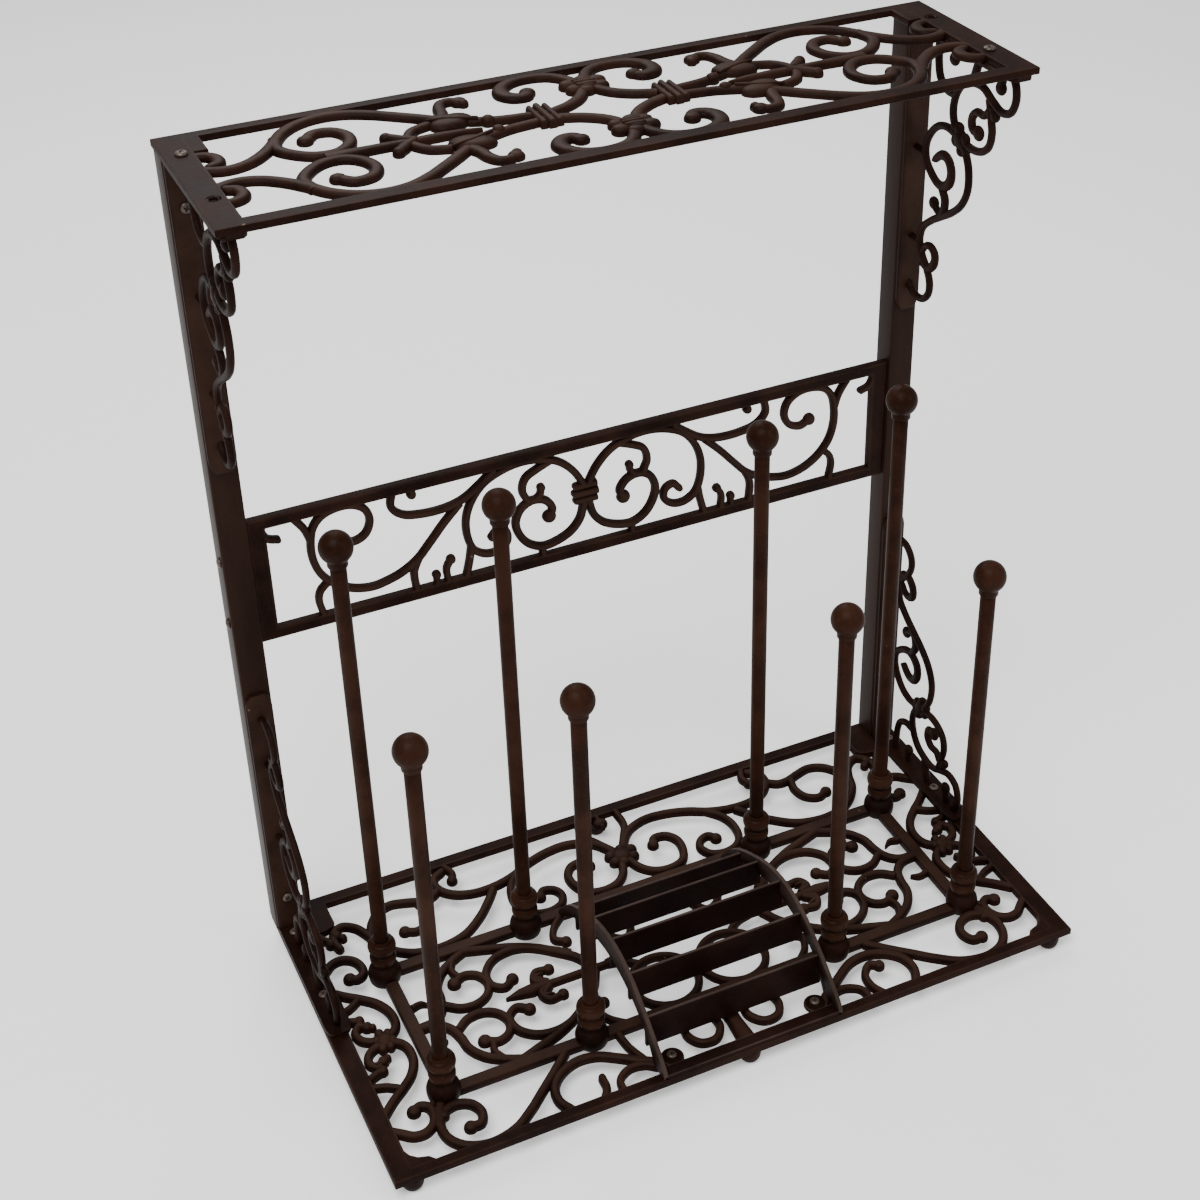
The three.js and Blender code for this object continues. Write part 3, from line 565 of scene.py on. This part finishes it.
    def finish(self, name, node, material, sharp=38):
        """Makes the mesh, with its crown attribute and hard edges past the angle sharp."""
        mesh = bpy.data.meshes.new(name)
        mesh.from_pydata((np.vstack(self.verts) * MM).tolist(), [], self.faces)
        crown = mesh.attributes.new("crown", "FLOAT", "POINT")
        crown.data.foreach_set("value", np.concatenate(self.crowns).astype(np.float32))
        mesh.polygons.foreach_set("use_smooth", np.ones(len(mesh.polygons), bool))
        mesh.set_sharp_from_angle(angle=math.radians(sharp))
        mesh.materials.append(material)
        mesh.validate()
        piece = bpy.data.objects.new(name, mesh)
        bpy.context.collection.objects.link(piece)
        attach(piece, "root")
        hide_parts(node)


def mirrored(strokes, u=False, middle=None):
    """The strokes turned over about u = 0, or about the line v = middle."""
    out = []
    for s in strokes:
        points = [[-x if u else x, y if middle is None else 2 * middle - y] for x, y in s["p"]]
        out.append({**s, "p": points})
    return out


def both_sides(strokes):
    """The strokes and their mirror images on the other side of the stand."""
    return strokes + mirrored(strokes, u=True)


def four_ways(strokes, middle):
    """The strokes in all four quarters round the point (0, middle)."""
    return both_sides(strokes + mirrored(strokes, middle=middle))


# ---- materials ------------------------------------------------------------
MIX_A, MIX_B, MIX_COLOUR = 6, 7, 2
PALE_CHIP = (0.13, 0.095, 0.075)
STREAK = (1, 1, 0.15)


class Wire:
    """A socket in a shader, with ordinary arithmetic on its value."""

    def __init__(self, tree, socket=None):
        self.tree, self.socket = tree, socket

    def node(self, kind, settings, sockets, output=0):
        """Adds a node: its settings first, then a value or a link for each of the sockets."""
        made = self.tree.nodes.new(kind)
        for name, value in settings.items():
            setattr(made, name, value)
        for key, value in sockets.items():
            if isinstance(value, Wire):
                self.tree.links.new(value.socket, made.inputs[key])
            else:
                made.inputs[key].default_value = value
        return Wire(self.tree, made.outputs[output])

    def math(self, operation, first, second):
        return self.node("ShaderNodeMath", {"operation": operation}, {0: first, 1: second})

    def __add__(self, other):
        return self.math("ADD", self, other)

    def __sub__(self, other):
        return self.math("SUBTRACT", self, other)

    def __rsub__(self, other):
        return self.math("SUBTRACT", other, self)

    def __mul__(self, other):
        return self.math("MULTIPLY", self, other)

    __radd__ = __add__
    __rmul__ = __mul__

    def step(self, low, high):
        """0 below low, 1 above high, smooth between."""
        return self.node("ShaderNodeMapRange", {"interpolation_type": "SMOOTHSTEP"},
                         {"Value": self, "From Min": low, "From Max": high})

    def blend(self, a, b):
        """Colour a at 0 and colour b at 1."""
        a, b = (value if isinstance(value, Wire) else (*value, 1) for value in (a, b))
        return self.node("ShaderNodeMix", {"data_type": "RGBA"}, {"Factor": self, MIX_A: a, MIX_B: b},
                         MIX_COLOUR)


def finish_of(name, dark, warm, worn_and_lit, grain=0.35, rough=0.5, streak=False, metallic=0.0, chips=0.80,
              specular=0.045):
    """A painted or metal finish.

    Colour is dark mixed towards warm by a cloud of noise, then towards the third, lighter colour
    where the crown is high: partly dust and wear, partly painted light, the tops and edges painted
    lighter as if lit from above. Then it moves towards a paler warm by fine grain, with pale chips
    where a third noise passes chips. Roughness is rough, moved by cloud, grain and the crown mix.
    Bump is two sizes of grain.
    """
    mat = bpy.data.materials.new(name)
    mat.use_nodes = True
    shader = mat.node_tree.nodes["Principled BSDF"]
    paint = Wire(mat.node_tree)
    place = paint.node("ShaderNodeTexCoord", {}, {}, "Object")
    crown = paint.node("ShaderNodeAttribute", {"attribute_name": "crown"}, {}, "Fac")

    def noise(scale, detail, roughness, vector=place):
        return paint.node("ShaderNodeTexNoise", {}, {"Vector": vector, "Scale": scale, "Detail": detail,
                                                     "Roughness": roughness})

    drawn_out = place
    if streak:
        drawn_out = paint.node("ShaderNodeMapping", {}, {"Vector": place, "Scale": STREAK})
    cloud = noise(22, 4, 0.6, drawn_out)
    fine = noise(420, 3, 0.6)
    # The crown mix: how far the colour moves to the third, lighter colour, partly dust and wear, partly
    # painted light on the tops.
    rub_and_top_light = (crown * (cloud * 0.9 + 0.25)).step(0.2, 0.95)
    colour = cloud.step(0.36, 0.66).blend(dark, warm)
    colour = (rub_and_top_light * 0.75).blend(colour, worn_and_lit)
    colour = (fine.step(0.52, 0.74) * 0.35).blend(colour, tuple(c * 1.9 for c in warm))
    if chips:
        speck = (noise(150, 1, 0.3) * (crown * 0.12 + 0.9)).step(chips, chips + 0.025)
        colour = (speck * 0.7).blend(colour, PALE_CHIP)
    roughness = cloud * 0.22 + fine * 0.1 + (rough - 0.16) - rub_and_top_light * 0.05
    height = noise(650, 2, 0.5) * 0.55 + noise(210, 2, 0.5) * 0.8
    bump = paint.node("ShaderNodeBump", {}, {"Strength": grain, "Distance": 0.0006, "Height": height})
    for socket, value in (("Base Color", colour), ("Roughness", roughness), ("Normal", bump)):
        mat.node_tree.links.new(value.socket, shader.inputs[socket])
    shader.inputs["Metallic"].default_value = metallic
    shader.inputs["Specular IOR Level"].default_value = specular
    return mat


# The third colour of each finish is the lighter one laid on the crowns: partly dust and wear, partly
# painted light on the tops and edges.
CAST = finish_of("cast_paint", (0.0075, 0.0026, 0.0016), (0.0165, 0.0061, 0.0037), (0.039, 0.0200, 0.0140))
SCRAPED = finish_of("scraped_paint", (0.0065, 0.0020, 0.0013), (0.0125, 0.0042, 0.0028),
                    (0.075, 0.052, 0.043), chips=0.81)
TUBE = finish_of("tube_paint", (0.0085, 0.0033, 0.0021), (0.0165, 0.0068, 0.0044), (0.031, 0.0160, 0.0115),
                 grain=0.14, rough=0.46, streak=True)
POST = finish_of("post_paint", (0.0130, 0.0042, 0.0019), (0.0265, 0.0093, 0.0046), (0.047, 0.0220, 0.0132),
                 grain=0.16, rough=0.44, chips=0.79)
STEEL = finish_of("worn_steel", (0.024, 0.014, 0.011), (0.050, 0.034, 0.027), (0.15, 0.12, 0.10),
                  grain=0.1, rough=0.4, metallic=0.5, chips=None, specular=0.2)


# ---- base casting ---------------------------------------------------------
def base_casting():
    """The base: a rail all round, three bars across it, the scrolls, and a boss under each post."""
    base = Shape()
    low, top = BASE["low"], BASE_TOP
    opening = window(-283.5, 283.5, -149.5, 148)
    base.pierced([rectangle(BASE["left"], BASE["right"], BASE["front"], BASE["back"]), opening], low, top)
    for s in (1, -1):
        for outline in (FRONT_CORNER_WEB, REAR_CORNER_WEB):
            base.plate([[s * x, y] for x, y in outline], low, top - FLUSH)
        base.bar([[s * 234.5, -92], [s * 234.5, 52]], RAIL_WIDTH, low, top, SOFT_BAR, step=12, tip=False)
        spear = [[s * x, BASE_MIDDLE] for x in (58, 112, 123, 133, 144, 156)]
        base.bar(spear, [7, 7, 8.5, 13, 9, 1.5], low, top, tip=False)
        base.knot(s * 260, BASE_MIDDLE, 11.5, low, top + 1.6, 1.4)
        for x, y, radius, rise in REAR_CORNER_BERRIES:
            base.eye(s * x, y, radius, low, top + rise)
    for y in (50, -91):
        base.bar([[-240, y], [240, y]], RAIL_WIDTH, low, top, SOFT_BAR, step=24, tip=False)
    base.bar([[0, -150], [0, -122], [0, -94]], [17, 13, 17], low, top, tip=False)
    base.bar([[0, 134], [0, 150]], 5, low, top, tip=False)
    base.knot(0, 92.5, 14.5, low, top + 1.8)
    base.eye(0, 140, 5.5, low, top + 0.8, 1.3)
    ring = circle(31, -59, 28, 18)
    for s in (1, -1):
        base.bar([[s * x, y] for x, y in ring + ring[:1]], 7, low, top, tip=False)
    scrolls = both_sides(BASE_BACK + BASE_FRONT + BASE_CENTRE + CORNER_JOINT)
    for stroke in scrolls + four_ways(BASE_SIDE + BASE_INNER, BASE_MIDDLE) + BASE_ODD:
        base.stroke(stroke, low, top)
    for x, y, _ in POSTS.values():
        base.turned([(AXIS, low, 0), (12.2, low, 0), *BOSS, (AXIS, 32, 0)], x, y, 36)
    base.finish("base_casting", "base_grate", CAST)


# ---- feet -----------------------------------------------------------------
def foot(row, side):
    """A turned foot: a flat sole, a quarter of a dome, then a straight rim up to the base."""
    dome = [(AXIS, 0), (4.2, 0), (5.6, 0.5), (7.1, 1.9), (8.2, 4), (8.8, 6.6), (9, 9), (9, 12.75),
            (AXIS, 12.75)]
    x, y = middle_of(f"foot_{row}_{side}")[:2]
    shape = Shape()
    shape.turned([(radius, height, 0.4) for radius, height in dome], x, y, 32)
    shape.finish(f"domed_foot_{row}_{side}", f"foot_{row}_{side}", CAST)


# ---- boot posts -----------------------------------------------------------
def bead(z, half, inner, outer, crowns):
    """A turned bead: half a circle swelling from inner to outer radius, one step for each crown."""
    turns = np.linspace(0, math.pi, len(crowns))
    return [(inner + (outer - inner) * math.sin(a), z - half * math.cos(a), crown)
            for a, crown in zip(turns, crowns)]


def boot_post(tag, x, y, ball):
    """A straight rod, a collar of two beads at its foot, and a ball with a short neck on top."""
    top = ball - 6.3
    rod = Shape()
    rod.turned([(AXIS, 13.5, 0), (5.9, 13.5, 0), (ROD_RADIUS, 13.9, 0), (ROD_RADIUS, 60, 0.1),
                (ROD_RADIUS, 180, 0.75), (ROD_RADIUS, ball - 60, 0.35), (ROD_RADIUS, top - 0.4, 0.2),
                (5.9, top, 0.2), (AXIS, top, 0)], x, y, 32)
    rod.finish(f"boot_rod_{tag}", f"post_rod_{tag}", POST)

    collar = Shape()
    # Bead crowns peak on each bulge: paler there, partly wear and partly a painted highlight.
    lower = bead(38.3, 4.6, 9.2, 11, [0, 0.3, 0.7, 0.9, 0.7, 0.3, 0])
    upper = bead(50.6, 5.4, 8.7, 11.8, [0, 0.3, 0.8, 1, 0.8, 0.3, 0.1])
    lip = [(8.4, 57.2, 0.3), (7.6, 58, 0.3), (6.4, 58, 0)]
    collar.turned([(6.4, 32.25, 0), (9, 32.25, 0), *lower, *upper, *lip], x, y, 36, closed=True)
    collar.finish(f"turned_collar_{tag}", f"post_collar_{tag}", POST)

    knob = Shape()
    neck = [(6.4, ball - 6, 0), (6.4, ball - 16, 0), (7.3, ball - 16, 0.1), (7.7, ball - 15.2, 0.2),
            (7.7, ball - 12, 0.1)]
    # The ball's crown grows towards its top: paler there, partly wear and partly a painted highlight.
    turns = np.linspace(-0.92, math.pi / 2 - 0.03, 15)
    rise = np.linspace(0.15, 0.65, 15)
    arc = [(KNOB_RADIUS * math.cos(a), ball + KNOB_RADIUS * math.sin(a), c) for a, c in zip(turns, rise)]
    knob.turned([*neck, *arc, (AXIS, ball - 6, 0)], x, y, 44, closed=True)
    knob.finish(f"round_knob_{tag}", f"post_ball_{tag}", POST)


# ---- boot scraper ---------------------------------------------------------
def on_cheek(x0):
    """Drawn in Y and Z, with height along X from the cheek's left face."""
    return lambda u, v, h: np.stack([x0 + h, u, v], 1)


def boot_scraper():
    """Two arched cheeks, five slats between them, a strip along the front and two screw ears."""
    scraper = Shape()
    over, _ = smooth_line(CHEEK_OVER, [0] * len(CHEEK_OVER), 5)
    under, _ = smooth_line(CHEEK_UNDER, [0] * len(CHEEK_UNDER), 5)
    cheek = np.vstack([[CHEEK_TOE], over, under])
    # The cheek's crown: 1 along its upper edge, 0.4 under the arch; paler there, partly rubbed wear and
    # partly a painted highlight.
    worn_and_lit = np.array([0.0] + [1.0] * len(over) + [0.4] * len(under))
    for x0 in (-79.5, 76):
        scraper.place = on_cheek(x0)
        layers = ((0, 0.8), (0.35, 1), (3.15, 1), (3.5, 0.8))
        rings = [np.column_stack([cheek, np.full(len(cheek), h)]) for h, _ in layers]
        scraper.loops(rings, [worn_and_lit * share for _, share in layers])
    scraper.place = on_floor
    # Slat crown: paler along the top of each slat, partly rubbed wear and partly a painted highlight.
    slat_crown = [0, 0.12, 1, 1, 0.12, 0, 0, 0]
    for y, z0, z1 in SLATS:
        section = [(y - 1.6, z0 + 0.4), (y - 1.6, z1 - 0.7), (y - 0.8, z1), (y + 0.8, z1),
                   (y + 1.6, z1 - 0.7), (y + 1.6, z0 + 0.4), (y + 0.9, z0), (y - 0.9, z0)]
        rings = [[(x, *point) for point in section] for x in np.linspace(-78, 78, 14)]
        scraper.loops(rings, [slat_crown] * len(rings))
    seat = BASE_TOP + GAP
    scraper.plate(rectangle(-78, 78, -158.5, -147.5), seat, seat + 3.5, 0.8)
    for x in (-64, 64):
        scraper.plate(circle(x, -141, 9.5, 24), seat, seat + 3.35, 0.8)
    scraper.finish("arched_scraper", "boot_scraper", SCRAPED)


# ---- uprights -------------------------------------------------------------
def square_upright(side):
    """A square tube: a rounded outline outside, a smaller one inside, both the full height."""
    box = sizes(f"{side}_upright")
    outside = rounded(box["left"], box["right"], box["front"], box["back"], 1.6)
    inside = rounded(box["left"] + TUBE_WALL, box["right"] - TUBE_WALL, box["front"] + TUBE_WALL,
                     box["back"] - TUBE_WALL, 0.6)
    heights = np.linspace(box["low"], box["top"], 24)
    rings = [[(x, y, z) for x, y in outside] for z in heights]
    rings += [[(x, y, z) for x, y in inside] for z in heights[::-1]]
    # Crown: the outside paler, most along the rounded corners, partly wear and partly a painted highlight;
    # the inside gets none and stays dark, a painted shade.
    corner = [0.75, 0.95, 1, 0.95, 0.75]
    tube = Shape()
    tube.loops(rings, [corner * 4] * len(heights) + [0] * len(heights), closed=True)
    tube.finish(f"square_upright_{side}", f"{side}_upright", TUBE)


# ---- middle panel ---------------------------------------------------------
def on_panel(u, v, h):
    """Drawn in X and Z: height grows towards the front."""
    return np.stack([u, PANEL["back"] - h, v], 1)


def scroll_panel():
    """The panel between the uprights: a flat frame, its scrolls, and bands at the middle."""
    panel = Shape(on_panel)
    thick = PANEL["back"] - PANEL["front"]
    outline = rectangle(PANEL["left"], PANEL["right"], PANEL["low"], PANEL["top"])
    panel.pierced([outline, window(-264.2, 264.2, 320, 411)], 0, thick, 1.3)
    for stroke in both_sides(PANEL_SCROLLS):
        panel.stroke(stroke, 0.4, 6.8)
    panel.bands(0, 368.5, math.pi / 2, 20, [6.4, 7, 6.4], 0.3, thick)
    panel.finish("scroll_panel", "mid_panel", CAST)


# ---- brackets -------------------------------------------------------------
def on_bracket(x, upward, z):
    """Drawn in Y and distance from the level flange; height runs across, in X."""
    return lambda u, v, h: np.stack([x + h, u, z + upward * v], 1)


def on_level_flange(x, upward, z):
    """Drawn in Y and X, with its flat face away from the seat at z."""
    return lambda u, v, h: np.stack([x + v, u, z + upward * (FLANGE_THICK - h)], 1)


def on_upright_flange(x, upward, z, back):
    """Drawn in distance from the seat at z and X, with its flat face against the upright."""
    return lambda u, v, h: np.stack([x + v, back - h, z + upward * u], 1)


def scroll_bracket(level, side):
    """A bracket: a scroll web domed on both faces, with a flat flange on each of its two edges."""
    box = sizes(f"{side}_{level}_bracket")
    x = middle_of(f"{side}_{level}_bracket")[0]
    upward, z = (1, box["low"]) if level == "lower" else (-1, box["top"])
    bracket = Shape(on_bracket(x, upward, z))
    for stroke in BRACKET_SCROLLS:
        bracket.stroke(stroke, -3, 3, OVAL)
    bracket.knot(71, 75.5, 12.5, -4.2, 4.2, 2.2, both=True)
    bracket.place = on_level_flange(x, upward, z)
    bracket.bar([[box["front"], 0], [-1, 0], [6, 0], [135.7, 0]], [12, 17, 21, 21], 0, FLANGE_THICK,
                SOFT_BAR, step=6, tip=False)
    bracket.place = on_upright_flange(x, upward, z, box["back"])
    bracket.bar([[0.1, 0], [236, 0], [243, 0], [247, 0]], [21, 21, 18, 12], 0, FLANGE_THICK,
                SOFT_BAR, step=6, tip=False)
    bracket.finish(f"scroll_bracket_{level}_{side}", f"{side}_{level}_bracket", CAST)


# ---- top grate ------------------------------------------------------------
def top_casting():
    """The top grate: a rail all round, end plates with a spare hole each, scrolls and leaves."""
    grate = Shape()
    low, top, middle = SHELF["low"], SHELF["top"], SHELF_MIDDLE
    outline = rectangle(SHELF["left"], SHELF["right"], SHELF["front"], SHELF["back"])
    spare_holes = [drilled(-BRACKET_X, FRONT_HOLE, 3), drilled(BRACKET_X, REAR_HOLE, 3)]
    grate.pierced([outline, window(-281, 281, 7, 149.5), *spare_holes], low, top, 0.9)
    for s in (1, -1):
        grate.plate([[s * x, y] for x, y in rectangle(271, 283, 124, 152)], low, top - FLUSH)
        spear = [[s * x, middle] for x in (94, 108, 128, 150, 172, 205)]
        grate.bar(spear, [3, 7.5, 9.5, 9, 10, 14], low, top + 0.3, tip=False)
        grate.bands(s * 48, middle, 0, 31, [5.4, 6.2, 5.4], low, top + 1.3)
        for side in (1, -1):
            leaf = [[s * x, middle + side * y] for x, y in ((142, 0), (148.5, 4), (154, 9), (158, 13.5))]
            grate.bar(leaf, [7, 9, 9.5, 8], low, top + 0.9, tip=False)
            grate.eye(s * 158.5, middle + side * 13.5, 4.6, low, top + 1.1)
            grate.eye(s * 109, middle + side * 20.5, 11.5, low, top + 1.2, 1.5, -0.3 * side * s)
            vein = [[s * x, middle + side * y] for x, y in ((92, 13), (109, 20.5), (125, 25))]
            grate.bar(vein, [3, 5, 1.5], top - 1, top + 1.9)
            grate.eye(s * 86, middle + side * 10, 5.2, low, top + 2)
    for y, turn in ((119, 0), (36, math.pi)):
        grate.knot(0, y, 17, low, top + 1.6, turn)
        grate.bands(0, y, math.pi / 2, 15, [4, 4.4, 4], low, top + 1.9)
    for stroke in four_ways(SHELF_SCROLLS, middle):
        grate.stroke(stroke, low, top)
    grate.finish("top_casting", "top_grate", CAST)


# ---- screws ---------------------------------------------------------------
def screw_head(node, out):
    """A pan head with a cross recess, turned about the direction out in which it faces.

    The rings rise as (share of the radius, height). The recess is cut down wherever a point is
    within either arm of the cross and short of its end.
    """
    out = np.array(out, float)
    low, high = np.array(cad_box(node))
    across = out == 0
    radius = np.max((high - low)[across]) / 2
    seat = (low + high) / 2
    facing = np.flatnonzero(out)[0]
    seat[facing] = (high if out[facing] > 0 else low)[facing] - out[facing] * HEAD_HEIGHT

    share, rise = np.array(PAN_HEAD).T[:, :, None]
    a = np.arange(48) * math.tau / 48
    x, y = radius * share * np.cos(a), radius * share * np.sin(a)
    arm, reach = np.minimum(np.abs(x), np.abs(y)), np.maximum(np.abs(x), np.abs(y))
    cut = np.clip((0.17 * radius - arm) / (0.08 * radius), 0, 1)
    cut = cut * np.clip((0.55 * radius - reach) / (0.1 * radius), 0, 1)
    rings = np.stack([x, y, rise - 1.1 * cut * (rise > 1.5)], 2)
    aside = np.cross(out, RECESS_TURN)
    aside /= np.linalg.norm(aside)
    other = np.cross(out, aside)
    head = Shape(lambda u, v, h: seat + np.outer(u, aside) + np.outer(v, other) + np.outer(h, out))
    # Crown: the top of the head paler, partly wear and partly a painted highlight; the cross recess left
    # dark, a painted shade.
    head.loops(rings, np.where(rise > 1, 0.9 * (1 - cut), 0.2))
    head.finish(f"cross_head_{node}", node, STEEL, 50)


def screws():
    """Each screw faces away from what it fastens: forwards, upwards or out to its side."""
    forwards, upwards = (0, -1, 0), (0, 0, 1)
    for side, s in SIDES:
        screw_head(f"screw_bracket_upper_{side}", forwards)
        screw_head(f"screw_bracket_lower_{side}", forwards)
        screw_head(f"screw_base_front_{side}", upwards)
        screw_head(f"screw_base_rear_{side}", upwards)
        screw_head(f"screw_panel_upper_{side}", (s, 0, 0))
        screw_head(f"screw_panel_lower_{side}", (s, 0, 0))
        screw_head(f"screw_scraper_{side}", upwards)
    screw_head("screw_shelf_left_rear", upwards)
    screw_head("screw_shelf_right_front", upwards)


# ---- floor, light and camera ----------------------------------------------
def pale_floor():
    """A plain square of floor, lifted a little by its own light."""
    mesh = bpy.data.meshes.new("floor")
    mesh.from_pydata([(-6, -6, 0), (6, -6, 0), (6, 6, 0), (-6, 6, 0)], [], [(0, 1, 2, 3)])
    mat = bpy.data.materials.new("pale_floor")
    mat.use_nodes = True
    shader = mat.node_tree.nodes["Principled BSDF"]
    shader.inputs["Base Color"].default_value = (0.93, 0.93, 0.925, 1)
    shader.inputs["Roughness"].default_value = 0.9
    shader.inputs["Emission Color"].default_value = (1, 1, 1, 1)
    shader.inputs["Emission Strength"].default_value = 0.36
    mesh.materials.append(mat)
    plane = bpy.data.objects.new("floor", mesh)
    bpy.context.collection.objects.link(plane)


def softbox(name, at, target, size, watts):
    """A round area light at one point, facing another."""
    data = bpy.data.lights.new(name, "AREA")
    data.shape = "DISK"
    data.size = size
    data.energy = watts
    lamp = bpy.data.objects.new(name, data)
    bpy.context.collection.objects.link(lamp)
    lamp.location = at
    lamp.rotation_euler = (Vector(at) - Vector(target)).to_track_quat("Z", "Y").to_euler()


def studio():
    """White surroundings, a soft key from the left, and weaker lights at the right and behind."""
    softbox("key_light", (-1.1, -0.9, 3.0), (0, 0, 0.4), 2.0, 95)
    softbox("fill_light", (1.7, -1.6, 1.7), (0, 0, 0.3), 1.6, 16)
    softbox("rear_light", (0.3, 2.0, 2.3), (0, 0, 0.4), 1.6, 34)
    world = bpy.data.worlds.new("studio")
    bpy.context.scene.world = world
    world.use_nodes = True
    background = world.node_tree.nodes["Background"]
    background.inputs["Color"].default_value = (1, 1, 1, 1)
    background.inputs["Strength"].default_value = 0.5


def camera():
    """Looks down on the stand from the left of its front."""
    data = bpy.data.cameras.new("camera")
    data.sensor_width = 36
    data.lens = 61.81
    data.shift_x = -0.0421
    data.shift_y = -0.0859
    made = bpy.data.objects.new("camera", data)
    bpy.context.collection.objects.link(made)
    turns = [Matrix.Rotation(math.radians(angle), 4, axis)
             for angle, axis in ((-24.85, "Z"), (90 - 32.23, "X"), (-1.01, "Z"))]
    made.matrix_world = Matrix.Translation((-0.548, -1.1638, 1.2551)) @ (turns[0] @ turns[1] @ turns[2])
    bpy.context.scene.camera = made


# ---- the stand ------------------------------------------------------------
base_casting()
for side in ("left", "middle", "right"):
    for row in ("front", "back"):
        foot(row, side)
for tag, (x, y, ball) in POSTS.items():
    boot_post(tag, x, y, ball)
boot_scraper()
for side, _ in SIDES:
    square_upright(side)
scroll_panel()
for side, _ in SIDES:
    for level in ("lower", "upper"):
        scroll_bracket(level, side)
top_casting()
screws()

pale_floor()
studio()
camera()
